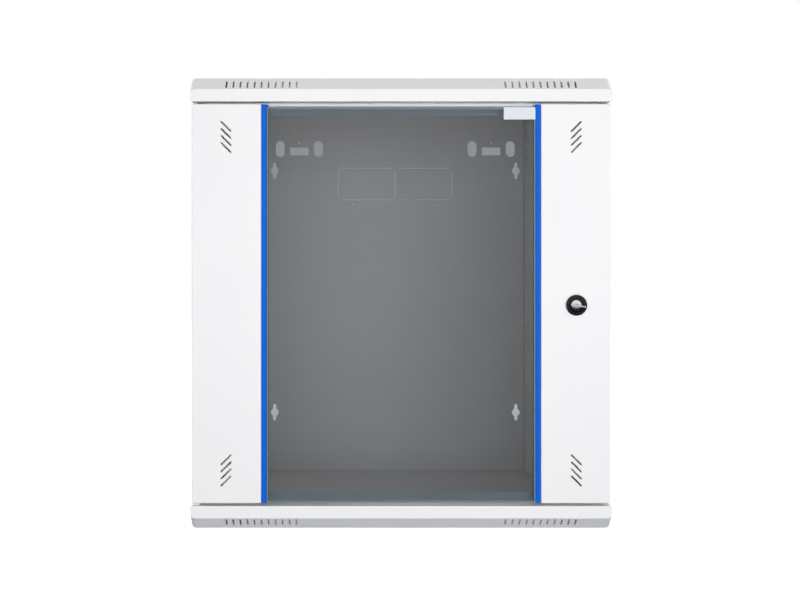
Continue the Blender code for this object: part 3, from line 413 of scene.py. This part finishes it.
def apply_modifiers(item):
    """Makes a piece's evaluated shape its own mesh, with its custom normals kept."""
    bpy.context.view_layer.update()
    graph = bpy.context.evaluated_depsgraph_get()
    evaluated = item.evaluated_get(graph)
    mesh = bpy.data.meshes.new_from_object(evaluated, preserve_all_data_layers=True, depsgraph=graph)
    item.modifiers.clear()
    item.data = mesh


def settle(item, body, slot, *nodes):
    """Ties a piece to its body, its finish and the plain parts that it stands for."""
    apply_modifiers(item)
    if not item.data.materials:
        item.data.materials.append(material(slot))
    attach(item, body)
    if nodes:
        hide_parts(*nodes)
    return item


def refined(node, body, slot, bend=0.0, edge=None, limit=34):
    """A frame node with rounded folds and edges."""
    shape = welded(node)
    if bend:
        fold(shape, bend)
    item = new_object(node + "_finished", mesh_of(shape, node))
    soften(item, edge or finish().edge_radius, limit=limit)
    return settle(item, body, slot, node)


def prism(outline, depth, name="prism"):
    """A solid about the XY plane from an outline of points, anticlockwise."""
    shape = bmesh.new()
    low = [shape.verts.new((x, y, -depth / 2)) for x, y in outline]
    high = [shape.verts.new((x, y, depth / 2)) for x, y in outline]
    count = len(outline)
    shape.faces.new(list(reversed(low)))
    shape.faces.new(high)
    for i in range(count):
        j = (i + 1) % count
        shape.faces.new((low[i], low[j], high[j], high[i]))
    return mesh_of(shape, name)


def box_shape(low, high):
    shape = bmesh.new()
    size = Matrix.Diagonal((*(Vector(high) - Vector(low)), 1))
    middle = (Vector(low) + Vector(high)) / 2
    bmesh.ops.create_cube(shape, size=1, matrix=Matrix.Translation(middle) @ size)
    return shape


def arc(x, y, radius, start, end, steps):
    turns = [start + (end - start) * i / steps for i in range(steps + 1)]
    return [(x + radius * cos(a), y + radius * sin(a)) for a in turns]


def rounded_rectangle(half_width, half_height, corner, steps=4):
    """An anticlockwise outline about the origin."""
    corners = ((1, 1), (-1, 1), (-1, -1), (1, -1))
    return [
        point
        for i, (u, v) in enumerate(corners)
        for point in arc(
            u * (half_width - corner), v * (half_height - corner), corner, i * pi / 2, (i + 1) * pi / 2, steps
        )
    ]


def loft(rings, name):
    """A solid through rings of equally many points, the first at the top, each anticlockwise seen from there."""
    shape = bmesh.new()
    rows = [[shape.verts.new(point) for point in ring] for ring in rings]
    count = len(rows[0])
    shape.faces.new(rows[0])
    shape.faces.new(list(reversed(rows[-1])))
    for upper, lower in zip(rows, rows[1:]):
        for i in range(count):
            j = (i + 1) % count
            shape.faces.new((upper[i], lower[i], lower[j], upper[j]))
    return mesh_of(shape, name)


def obround(length, width, steps=6):
    reach = (length - width) / 2
    return arc(reach, 0, width / 2, -pi / 2, pi / 2, steps) + arc(-reach, 0, width / 2, pi / 2, 3 * pi / 2, steps)


def turned(name, profile, steps=72):
    """A turned solid about Z from (radius, height) points that run down its outer side."""
    mesh = bpy.data.meshes.new(name)
    mesh.from_pydata([(r, 0, h) for r, h in profile], [(i, i + 1) for i in range(len(profile) - 1)], [])
    item = new_object(name, mesh)
    spin = item.modifiers.new("turn", "SCREW")
    spin.angle = 2 * pi
    spin.steps = steps
    spin.render_steps = steps
    spin.use_merge_vertices = True
    spin.merge_threshold = 0.004 * MM
    spin.use_smooth_shade = True
    return item


def rounded_profile(corners, radius, steps=3):
    """A profile with its inner corners rounded, each by the same small radius where its sides allow."""
    points = [corners[0]]
    for before, corner, after in zip(corners, corners[1:], corners[2:]):
        a, b, c = Vector(before), Vector(corner), Vector(after)
        reach = min(radius, (a - b).length * 0.45, (c - b).length * 0.45)
        start = b + (a - b).normalized() * reach
        end = b + (c - b).normalized() * reach
        for i in range(steps + 1):
            t = i / steps
            points.append(tuple((1 - t) ** 2 * start + 2 * t * (1 - t) * b + t * t * end))
    points.append(corners[-1])
    return points


# Geometry Nodes


def tree_with(name, inputs):
    """A new Geometry Nodes tree with a geometry in and out and these named inputs."""
    tree = bpy.data.node_groups.new(name, "GeometryNodeTree")
    tree.interface.new_socket(name="Geometry", in_out="INPUT", socket_type="NodeSocketGeometry")
    for label, kind in inputs.items():
        tree.interface.new_socket(name=label, in_out="INPUT", socket_type="NodeSocket" + kind)
    tree.interface.new_socket(name="Geometry", in_out="OUTPUT", socket_type="NodeSocketGeometry")
    return tree, tree.nodes.new("NodeGroupInput"), tree.nodes.new("NodeGroupOutput")


def chain(tree, *steps):
    """Links (node, output) to (node, input) pairs."""
    for (source, out), (target, into) in steps:
        tree.links.new(source.outputs[out], target.inputs[into])


def hole_row_tree():
    """Cuts a row of equal holes: a cutter repeated along a line."""
    kinds = {"Cutter": "Object", "Count": "Int", "First": "Vector", "Step": "Vector", "Finish": "Material"}
    tree, given, result = tree_with("hole_row", kinds)
    line = tree.nodes.new("GeometryNodeMeshLine")
    line.mode = "OFFSET"
    cutter = tree.nodes.new("GeometryNodeObjectInfo")
    copies = tree.nodes.new("GeometryNodeInstanceOnPoints")
    solid = tree.nodes.new("GeometryNodeRealizeInstances")
    cut = tree.nodes.new("GeometryNodeMeshBoolean")
    cut.operation = "DIFFERENCE"
    real = tree.nodes.new("GeometryNodeRealizeInstances")
    coat = tree.nodes.new("GeometryNodeSetMaterial")
    chain(
        tree,
        ((given, "Count"), (line, "Count")),
        ((given, "First"), (line, "Start Location")),
        ((given, "Step"), (line, "Offset")),
        ((given, "Cutter"), (cutter, "Object")),
        ((line, "Mesh"), (copies, "Points")),
        ((cutter, "Geometry"), (copies, "Instance")),
        ((copies, "Instances"), (solid, "Geometry")),
        ((given, "Geometry"), (cut, "Mesh 1")),
        ((solid, "Geometry"), (cut, "Mesh 2")),
        ((cut, "Mesh"), (real, "Geometry")),
        ((real, "Geometry"), (coat, "Geometry")),
        ((given, "Finish"), (coat, "Material")),
        ((coat, "Geometry"), (result, "Geometry")),
    )
    return tree


def fastener_tree():
    """Puts a fastener on each point, turned by the point's own angles."""
    tree, given, result = tree_with("fasteners", {"Fastener": "Object", "Finish": "Material"})
    screw = tree.nodes.new("GeometryNodeObjectInfo")
    angles = tree.nodes.new("GeometryNodeInputNamedAttribute")
    angles.data_type = "FLOAT_VECTOR"
    angles.inputs["Name"].default_value = "turn"
    copies = tree.nodes.new("GeometryNodeInstanceOnPoints")
    real = tree.nodes.new("GeometryNodeRealizeInstances")
    coat = tree.nodes.new("GeometryNodeSetMaterial")
    chain(
        tree,
        ((given, "Fastener"), (screw, "Object")),
        ((given, "Geometry"), (copies, "Points")),
        ((screw, "Geometry"), (copies, "Instance")),
        ((angles, "Attribute"), (copies, "Rotation")),
        ((copies, "Instances"), (real, "Geometry")),
        ((real, "Geometry"), (coat, "Geometry")),
        ((given, "Finish"), (coat, "Material")),
        ((coat, "Geometry"), (result, "Geometry")),
    )
    return tree


def set_inputs(modifier, values):
    """Sets a Geometry Nodes modifier's named inputs by their sockets' identifiers."""
    sockets = modifier.node_group.interface.items_tree
    found = {s.name: s.identifier for s in sockets if s.item_type == "SOCKET" and s.in_out == "INPUT"}
    for name, value in values.items():
        modifier[found[name]] = value


TREES = {}


def add_tree(item, name, maker, values):
    if name not in TREES:
        TREES[name] = maker()
    step = item.modifiers.new(name, "NODES")
    step.node_group = TREES[name]
    set_inputs(step, values)
    return step


def pierce(item, cutter, count, first, step, slot="powder_coat"):
    """Cuts a row of holes in a piece, and keeps the result as its mesh."""
    values = {"Cutter": cutter, "Count": count, "First": first, "Step": step, "Finish": material(slot)}
    add_tree(item, "hole_row", hole_row_tree, values)
    apply_modifiers(item)
    bpy.data.objects.remove(cutter, do_unlink=True)


def facing_cutter(outline, depth, turn=Euler((pi / 2, 0, 0)), angle=0.0):
    """A cutter whose outline lies in its own XY plane, turned in the plane and then to face a side."""
    mesh = prism(outline, depth)
    mesh.transform(turn.to_matrix().to_4x4() @ Matrix.Rotation(angle, 4, "Z"))
    return new_object("cutter", mesh)


# Sheet metal


class CabinetSheets(bpy.types.Operator):
    """Finish the covers, posts, channels, back panel and side panels"""

    bl_idname = "cabinet.sheets"
    bl_label = "Covers, carcass and side panels"

    def execute(self, context):
        for body, nodes in SHEET_NODES.items():
            for node in nodes:
                refined(node, body, "powder_coat", bend=finish().fold_radius)
        return {"FINISHED"}


def stile_shell(side):
    """A tray with rounded folds, open at the back, as thick as the door's steel."""
    low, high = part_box("door_stile_" + side)
    shape = box_shape(low, high)
    back = [f for f in shape.faces if f.calc_center_median().y > high.y - 0.1 * MM]
    bmesh.ops.delete(shape, geom=back, context="FACES_ONLY")
    bends = [e for e in shape.edges if len(e.link_faces) == 2]
    bmesh.ops.bevel(shape, geom=bends, offset=1.8 * MM, offset_type="OFFSET", segments=5, profile=0.5, affect="EDGES")
    item = new_object("stile_" + side, mesh_of(shape, "stile"))
    wall = item.modifiers.new("wall", "SOLIDIFY")
    wall.thickness = 1.2 * MM
    wall.offset = -1
    return item


class CabinetStiles(bpy.types.Operator):
    """Build the door's two steel stiles, with their slanting vents and their hinge and lock holes"""

    bl_idname = "cabinet.stiles"
    bl_label = "Door stiles"

    def execute(self, context):
        for side, sign in SIDES.items():
            self.build(side, sign)
        return {"FINISHED"}

    def build(self, side, sign):
        low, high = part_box("door_stile_" + side)
        item = stile_shell(side)
        apply_modifiers(item)
        middle = (low.z + high.z) / 2
        vent_x = sign * (max(abs(low.x), abs(high.x)) - 49 * MM)
        pitch = finish().vent_pitch
        for level in (-1, 1):
            cutter = facing_cutter(obround(21 * MM, 2.7 * MM), 8 * MM, angle=sign * level * pi / 4)
            first = (vent_x, low.y, middle + level * 237 * MM - 1.5 * pitch)
            pierce(item, cutter, 4, first, (0, 0, pitch))
        if sign > 0:
            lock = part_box("lock_housing")
            radius = 9.9 * MM
            place = ((lock[0].x + lock[1].x) / 2, low.y, (lock[0].z + lock[1].z) / 2)
            pierce(item, facing_cutter(arc(0, 0, radius, 0, 2 * pi, 48)[:-1], 8 * MM), 1, place, (0, 0, 1))
        else:
            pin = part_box("hinge_pin_bottom")
            place = ((pin[0].x + pin[1].x) / 2, (pin[0].y + pin[1].y) / 2, low.z)
            up = Euler((0, 0, 0))
            cutter = facing_cutter(arc(0, 0, 2.8 * MM, 0, 2 * pi, 32)[:-1], 8 * MM, up)
            pierce(item, cutter, 2, place, (0, 0, high.z - low.z))
        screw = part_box(f"trim_screw_{side}_bottom")
        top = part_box(f"trim_screw_{side}_top")
        place = (sign * min(abs(low.x), abs(high.x)), (screw[0].y + screw[1].y) / 2, (screw[0].z + screw[1].z) / 2)
        sideways = Euler((pi / 2, 0, pi / 2))
        cutter = facing_cutter(arc(0, 0, 1.8 * MM, 0, 2 * pi, 24)[:-1], 8 * MM, sideways)
        pierce(item, cutter, 2, place, (0, 0, top[0].z - screw[0].z))
        soften(item, 0.12 * MM, segments=1, limit=50)
        settle(item, "door", "powder_coat", "door_stile_" + side)


class CabinetRails(bpy.types.Operator):
    """Build the four equipment rails with their square holes"""

    bl_idname = "cabinet.rails"
    bl_label = "Equipment rails"

    def execute(self, context):
        for row in ("front", "rear"):
            for side, sign in SIDES.items():
                self.build(f"rail_{row}_{side}", sign)
        return {"FINISHED"}

    def build(self, node, sign):
        low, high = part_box(node)
        wall = 1.5 * MM
        outer = sign * max(abs(low.x), abs(high.x))
        inner = sign * min(abs(low.x), abs(high.x))
        bend = 1.6 * MM
        corner = (outer - sign * bend, low.y + bend)
        turn = [
            (corner[0] + sign * bend * sin(a), corner[1] - bend * cos(a))
            for a in (pi / 2 * i / 5 for i in range(6))
        ]
        back = [
            (corner[0] + sign * (bend - wall) * sin(a), corner[1] - (bend - wall) * cos(a))
            for a in (pi / 2 * i / 5 for i in range(5, -1, -1))
        ]
        outline = [(inner, low.y), *turn, (outer, high.y), (outer - sign * wall, high.y), *back, (inner, low.y + wall)]
        if sign < 0:
            outline.reverse()
        mesh = prism(outline, high.z - low.z)
        mesh.transform(Matrix.Translation((0, 0, (low.z + high.z) / 2)))
        item = new_object(node + "_pierced", mesh)
        self.cut(item, node, sign, low, high)
        soften(item, 0.16 * MM, segments=1, limit=50)
        settle(item, "cabinet", "powder_coat", node)

    def cut(self, item, node, sign, low, high):
        look = finish()
        middle = (low.z + high.z) / 2
        x = sign * look.rack_hole_spacing / 2
        square = rounded_rectangle(look.rack_hole / 2, look.rack_hole / 2, 0.5 * MM, 2)
        lowest = middle - (look.rack_units - 1) * look.rack_unit / 2
        for offset in (-look.rack_hole_offset, 0.0, look.rack_hole_offset):
            first = (x, low.y, lowest + offset)
            pierce(item, facing_cutter(square, 8 * MM), look.rack_units, first, (0, 0, look.rack_unit))
        end = (high.z - low.z) / 2 - 28 * MM
        ring = arc(0, 0, 2.6 * MM, 0, 2 * pi, 24)[:-1]
        pierce(item, facing_cutter(ring, 8 * MM), 2, (x, low.y, middle - end), (0, 0, 2 * end))


# Door


class CabinetGlass(bpy.types.Operator):
    """Build the tinted pane with ground edges, and the blank plate on it"""

    bl_idname = "cabinet.glass"
    bl_label = "Glass and plate"

    def execute(self, context):
        low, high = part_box("door_glass")
        middle = (low + high) / 2
        half = (high - low) / 2
        ground, slope, corner = 2.4 * MM, 0.7 * MM, 1.5 * MM
        loops = [
            (half.y, ground), (half.y - slope * 0.15, ground * 0.8), (half.y - slope, 0.15 * MM),
            (half.y - slope - 0.25 * MM, 0.0), (slope - half.y, 0.0), (-half.y, slope),
        ]
        rings = [
            [(x, z, y) for x, z in rounded_rectangle(half.x - inset, half.z - inset, max(corner - inset, 0.2 * MM))]
            for y, inset in loops
        ]
        mesh = loft(rings, "glass_pane")
        mesh.transform(Matrix.Translation(middle) @ Matrix.Rotation(pi / 2, 4, "X"))
        item = new_object("glass_pane", mesh)
        item.data.materials.append(material("tinted_glass"))
        item.data.materials.append(material("glass_edge"))
        for face in item.data.polygons:
            face.material_index = 0 if abs(face.normal.y) > 0.999 else 1
            face.use_smooth = abs(face.normal.y) < 0.999
        settle(item, "door", "tinted_glass", "door_glass")
        self.plate()
        return {"FINISHED"}

    def plate(self):
        low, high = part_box("label_plate")
        half = (high - low) / 2
        mesh = prism(rounded_rectangle(half.x, half.z, 1.2 * MM), high.y - low.y)
        mesh.transform(Matrix.Translation((low + high) / 2) @ Euler((pi / 2, 0, 0)).to_matrix().to_4x4())
        item = new_object("blank_plate", mesh)
        soften(item, 0.12 * MM)
        settle(item, "door", "white_label", "label_plate")


class CabinetTrims(bpy.types.Operator):
    """Finish the coloured strips beside the glass"""

    bl_idname = "cabinet.trims"
    bl_label = "Glass trims"

    def execute(self, context):
        for side in SIDES:
            refined("door_trim_" + side, "door", "blue_trim", edge=0.35 * MM)
        return {"FINISHED"}


# Lock


def combine(item, mesh, operation):
    """Adds another solid's mesh to a piece, or cuts it from the piece."""
    other = new_object("other", mesh)
    step = item.modifiers.new("combine", "BOOLEAN")
    step.object = other
    step.operation = operation
    step.solver = "EXACT"
    apply_modifiers(item)
    bpy.data.objects.remove(other, do_unlink=True)


def placed(item, centre, turn):
    """Moves a finished turned mesh from its own origin to its place."""
    apply_modifiers(item)
    item.data.transform(Matrix.Translation(centre) @ turn.to_matrix().to_4x4())
    return item


class CabinetLock(bpy.types.Operator):
    """Build the door's lock: housing, core, nut, cam and key"""

    bl_idname = "cabinet.lock"
    bl_label = "Door lock and key"

    def execute(self, context):
        low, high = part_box("lock_housing")
        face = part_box("door_stile_right")[0].y
        centre = Vector(((low.x + high.x) / 2, face, (low.z + high.z) / 2))
        self.housing(centre, face - low.y, high.y - face)
        self.core(centre)
        refined("lock_nut", "door", "zinc_plate", edge=0.4 * MM)
        refined("lock_cam", "door_lock", "zinc_plate", edge=0.25 * MM)
        refined("cam_nut", "door_lock", "zinc_plate", edge=0.35 * MM)
        refined("key", "door_key", "chrome", edge=0.35 * MM, limit=40)
        return {"FINISHED"}

    def housing(self, centre, rise, reach):
        bore = 8.3 * MM
        corners = [
            (bore, rise - 2.6 * MM), (9.6 * MM, rise - 1.4 * MM), (11.6 * MM, rise), (13.6 * MM, rise - 0.35 * MM),
            (14.9 * MM, rise - 1.8 * MM), (15 * MM, 0.3 * MM), (9.6 * MM, 0.3 * MM), (9.6 * MM, -reach),
            (bore, -reach),
        ]
        profile = rounded_profile(corners, 0.7 * MM)
        item = turned("lock_housing_turned", [*profile, corners[0]], 96)
        placed(item, centre, Euler((pi / 2, 0, 0)))
        settle(item, "door", "black_lock", "lock_housing")

    def core(self, centre):
        """The plug with a domed face, its keyway and its square stem."""
        low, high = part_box("lock_core")
        radius = (high.x - low.x) / 2
        front = centre.y - low.y
        stem_top = centre.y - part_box("lock_cam")[0].y + 0.3 * MM
        corners = [
            (0.0, front), (radius * 0.5, front - 0.25 * MM), (radius * 0.82, front - 0.85 * MM),
            (radius, front - 1.6 * MM), (radius, stem_top), (0.0, stem_top),
        ]
        item = turned("lock_plug", rounded_profile(corners, 0.9 * MM), 72)
        placed(item, centre, Euler((pi / 2, 0, 0)))
        across = Vector((3 * MM, 0, 3 * MM))
        stem = box_shape(
            Vector((centre.x, low.y + 6 * MM, centre.z)) - across, Vector((centre.x, high.y, centre.z)) + across
        )
        keyway = box_shape((-4.3 * MM, low.y - 2 * MM, -1.3 * MM), (4.3 * MM, low.y + 20.6 * MM, 1.3 * MM))
        keyway.transform(Matrix.Translation((centre.x, 0, centre.z)) @ Matrix.Rotation(radians(10), 4, "Y"))
        combine(item, mesh_of(stem, "stem"), "UNION")
        combine(item, mesh_of(keyway, "keyway"), "DIFFERENCE")
        soften(item, 0.25 * MM, limit=50)
        settle(item, "door_lock", "chrome", "lock_core")


# Side latches


class CabinetLatches(bpy.types.Operator):
    """Finish the side panels' coin latches"""

    bl_idname = "cabinet.latches"
    bl_label = "Side latches"

    def execute(self, context):
        for side in SIDES:
            refined("latch_housing_" + side, "panel_" + side, "black_lock", edge=0.2 * MM, limit=40)
            refined("latch_knob_" + side, "latch_" + side, "zinc_plate", edge=0.3 * MM, limit=40)
            refined("latch_cam_" + side, "latch_" + side, "zinc_plate", edge=0.25 * MM)
        return {"FINISHED"}


# Fasteners


def screw_mesh(head, rise, shank, length, recess):
    """A pan-head screw along Z with a cross recess. Its head's top is at height 0 and its shank hangs below."""
    dome = [(0.0, 0.0), *[(head * sin(a), rise * 0.55 * (cos(a) - 1)) for a in (pi / 2 * i / 6 for i in range(1, 7))]]
    profile = [*dome, (head, -rise), (shank, -rise)]
    profile += [(shank, -rise - length + 0.5 * MM), (shank - 0.5 * MM, -rise - length), (0.0, -rise - length)]
    item = turned("screw", profile, 28)
    for angle in (0, pi / 2):
        bar = box_shape((-recess, -recess * 0.22, -rise * 0.7), (recess, recess * 0.22, rise))
        bmesh.ops.rotate(bar, verts=bar.verts, matrix=Matrix.Rotation(angle, 3, "Z"))
        cutter = new_object("recess", mesh_of(bar, "recess"))
        cut = item.modifiers.new("recess", "BOOLEAN")
        cut.object = cutter
        cut.solver = "EXACT"
    apply_modifiers(item)
    mesh = item.data
    for other in [o for o in bpy.data.objects if o.name.startswith("recess")]:
        bpy.data.objects.remove(other, do_unlink=True)
    bpy.data.objects.remove(item, do_unlink=True)
    return mesh


def fasteners(name, body, nodes, mesh, outward):
    """One piece of equal screws, their heads where their nodes' are. outward: 1 if the heads face away
    from the middle, -1 if towards it.
    """
    points = []
    turns = []
    for node in nodes:
        low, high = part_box(node)
        side = -1 if low.x < 0 else 1
        facing = side * outward
        x = high.x if facing > 0 else low.x
        points.append((x, (low.y + high.y) / 2, (low.z + high.z) / 2))
        turns.append((0.0, facing * pi / 2, 0.0))
    base = bpy.data.meshes.new(name)
    base.from_pydata(points, [], [])
    stored = base.attributes.new("turn", "FLOAT_VECTOR", "POINT")
    for row, turn in zip(stored.data, turns):
        row.vector = turn
    item = new_object(name, base)
    screw = new_object("one_screw", mesh)
    add_tree(item, "fasteners", fastener_tree, {"Fastener": screw, "Finish": material("zinc_plate")})
    settle(item, body, "zinc_plate", *nodes)
    bpy.data.objects.remove(screw, do_unlink=True)


class CabinetFasteners(bpy.types.Operator):
    """Build the rail bolts and trim screws, and finish the hinge pins, washer and earth stud"""

    bl_idname = "cabinet.fasteners"
    bl_label = "Fasteners and pins"

    def execute(self, context):
        rows = ("front", "rear")
        rails = [f"rail_bolt_{row}_{side}_{level}" for row in rows for side in SIDES for level in LEVELS]
        bolt = screw_mesh(5.5 * MM, 3.5 * MM, 3 * MM, 12 * MM, 2.9 * MM)
        fasteners("rail_bolts", "cabinet", rails, bolt, -1)
        trims = [f"trim_screw_{side}_{level}" for side in SIDES for level in LEVELS]
        screw = screw_mesh(3 * MM, 1.6 * MM, 1.5 * MM, 5.1 * MM, 1.5 * MM)
        fasteners("trim_screws", "door", trims, screw, 1)
        for node in ("hinge_pin_bottom", "hinge_pin_top", "earth_stud", "earth_nut"):
            refined(node, "cabinet", "zinc_plate", edge=0.35 * MM, limit=40)
        refined("hinge_washer", "cabinet", "nylon", edge=0.35 * MM, limit=40)
        return {"FINISHED"}


# Stage


def area_light(name, place, aim, size, power, colour=(1, 1, 1), seen=False):
    data = bpy.data.lights.new(name, "AREA")
    data.shape = "RECTANGLE"
    data.size, data.size_y = size
    data.energy = power
    data.color = colour
    lamp = new_object(name, data)
    lamp.location = place
    lamp.rotation_euler = (Vector(aim) - Vector(place)).to_track_quat("-Z", "Y").to_euler()
    lamp.visible_glossy = seen
    lamp.visible_camera = False
    return lamp


class CabinetStage(bpy.types.Operator):
    """Build the pale floor with its painted shadow, the soft light and the camera"""

    bl_idname = "cabinet.stage"
    bl_label = "Floor, light and camera"

    def execute(self, context):
        self.floor()
        self.light()
        self.camera()
        context.scene.view_settings.view_transform = "Standard"
        return {"FINISHED"}

    def floor(self):
        shape = bmesh.new()
        bmesh.ops.create_circle(shape, cap_ends=True, segments=96, radius=40)
        floor = new_object("floor", mesh_of(shape, "floor"))
        made = Surface("pale_floor_with_painted_shadow", roughness=0.9, colour=(0.35, 0.35, 0.35))
        # The floor glows near white with a painted shadow: its glow dims in a soft ellipse around and behind the
        # cabinet, where the cabinet's shadow would fall.
        place = made.make("TexCoord", output="Object")
        inputs = {"Vector": place, "Location": (0, -0.63, 0), "Scale": (2.17, 1.05, 1)}
        shadow_spot = made.make("Mapping", inputs=inputs)
        near = made.make("VectorMath", {"operation": "LENGTH"}, {0: shadow_spot}, output=1)
        inputs = {"Value": near, "From Min": 0.6, "From Max": 1.0, "To Min": 0.68, "To Max": 0.95}
        glow_with_painted_shadow = made.make("MapRange", {"interpolation_type": "SMOOTHSTEP"}, inputs)
        white = made.make("CombineColor", inputs={"Red": glow_with_painted_shadow, "Green": glow_with_painted_shadow, "Blue": glow_with_painted_shadow})
        made.set(**{"Emission Color": white, "Emission Strength": 1.0, "Specular IOR Level": 0.0})
        floor.data.materials.append(made.material)
        floor.visible_diffuse = False
        floor.visible_glossy = False

    def light(self):
        area_light("front_softbox", (0.2, -3.2, 0.46), (0, -0.2, 0.34), (2.6, 1.4), 114)
        warm = (1, 0.79, 0.72)
        area_light("inner_fill", (-0.13, -0.185, 0.34), (0.03, 0.2, 0.33), (0.1, 0.48), 0.66, warm)
        area_light("back_softbox", (0, 2.6, 2.9), (0, 0.1, 0.3), (2.4, 1.6), 85)
        area_light("left_softbox", (-3.0, 0.5, 0.9), (-0.3, 0, 0.32), (1.8, 1.6), 48)
        area_light("right_softbox", (3.0, 0.3, 0.9), (0.3, 0, 0.32), (1.8, 1.6), 60)
        world = bpy.data.worlds.new("studio")
        bpy.context.scene.world = world
        world.use_nodes = True
        self.sky(world.node_tree)

    def sky(self, tree):
        """White to the camera, with a painted shade where it is seen through the glass; soft from above and dim from
        below for everything that it lights.
        """
        background = tree.nodes["Background"]
        place = tree.nodes.new("ShaderNodeTexCoord")
        split = tree.nodes.new("ShaderNodeSeparateXYZ")
        tree.links.new(place.outputs["Generated"], split.inputs[0])
        height = Value(tree, split.outputs["Z"]) * 0.5 + 0.5
        ray = tree.nodes.new("ShaderNodeLightPath")
        glossy = Value(tree, ray.outputs["Is Glossy Ray"])
        direct = Value(tree, ray.outputs["Transparent Depth"]).math("LESS_THAN", 0.5)
        seen = Value(tree, ray.outputs["Is Camera Ray"])
        soft = self.ramp(tree, height, ((0.25, (0.13, 0.15, 0.21)), (0.7, (0.14, 0.14, 0.14))))
        mirrored = self.ramp(tree, height, ((0.30, (0.05, 0.055, 0.065)), (0.52, (0.85, 0.86, 0.88))))
        lit = self.choose(tree, glossy, soft, mirrored)
        # Seen through the glass, the sky is painted darker: a painted shade standing in for the shadowed backdrop
        # behind the cabinet.
        camera_view_with_painted_shade = self.choose(tree, direct, (0.74, 0.70, 0.74, 1), (1, 1, 1, 1))
        out = self.choose(tree, seen, lit, camera_view_with_painted_shade)
        tree.links.new(out.socket, background.inputs["Color"])

    def ramp(self, tree, height, stops):
        node = tree.nodes.new("ShaderNodeValToRGB")
        plug(tree, node.inputs[0], height)
        for element, (place, colour) in zip(node.color_ramp.elements, stops):
            element.position = place
            element.color = (*colour, 1)
        return Value(tree, node.outputs[0])

    def choose(self, tree, mask, first, second):
        node = tree.nodes.new("ShaderNodeMix")
        node.data_type = "RGBA"
        places = {s.name: s for s in node.inputs if s.enabled}
        for name, value in (("Factor", mask), ("A", first), ("B", second)):
            plug(tree, places[name], value)
        return Value(tree, next(s for s in node.outputs if s.enabled))

    def camera(self):
        data = bpy.data.cameras.new("camera")
        camera = new_object("camera", data)
        data.lens = 53.4
        data.sensor_width = 36
        data.shift_x = 0.03375
        data.shift_y = -0.0675
        camera.location = (-0.040, -1.911, 0.4045)
        camera.rotation_euler = (pi / 2, 0, 0)
        bpy.context.scene.camera = camera


OPERATORS = [
    CabinetSheets, CabinetStiles, CabinetRails, CabinetGlass, CabinetTrims, CabinetLock, CabinetLatches,
    CabinetFasteners, CabinetStage,
]


class CabinetPanel(bpy.types.Panel):
    """Lists the cabinet's operators in the sidebar"""

    bl_idname = "VIEW3D_PT_cabinet"
    bl_label = "Network cabinet"
    bl_space_type = "VIEW_3D"
    bl_region_type = "UI"
    bl_category = "Cabinet"

    def draw(self, context):
        look = context.scene.cabinet_finish
        for name in CabinetFinish.__annotations__:
            self.layout.prop(look, name)
        for operator in OPERATORS:
            self.layout.operator(operator.bl_idname)


CLASSES = [CabinetFinish, *OPERATORS, CabinetPanel]


def register():
    for item in CLASSES:
        bpy.utils.register_class(item)
    bpy.types.Scene.cabinet_finish = PointerProperty(type=CabinetFinish)


def unregister():
    del bpy.types.Scene.cabinet_finish
    for item in reversed(CLASSES):
        bpy.utils.unregister_class(item)


def main():
    register()
    for operator in OPERATORS:
        group, name = operator.bl_idname.split(".")
        getattr(getattr(bpy.ops, group), name)()


if __name__ == "__main__":
    main()
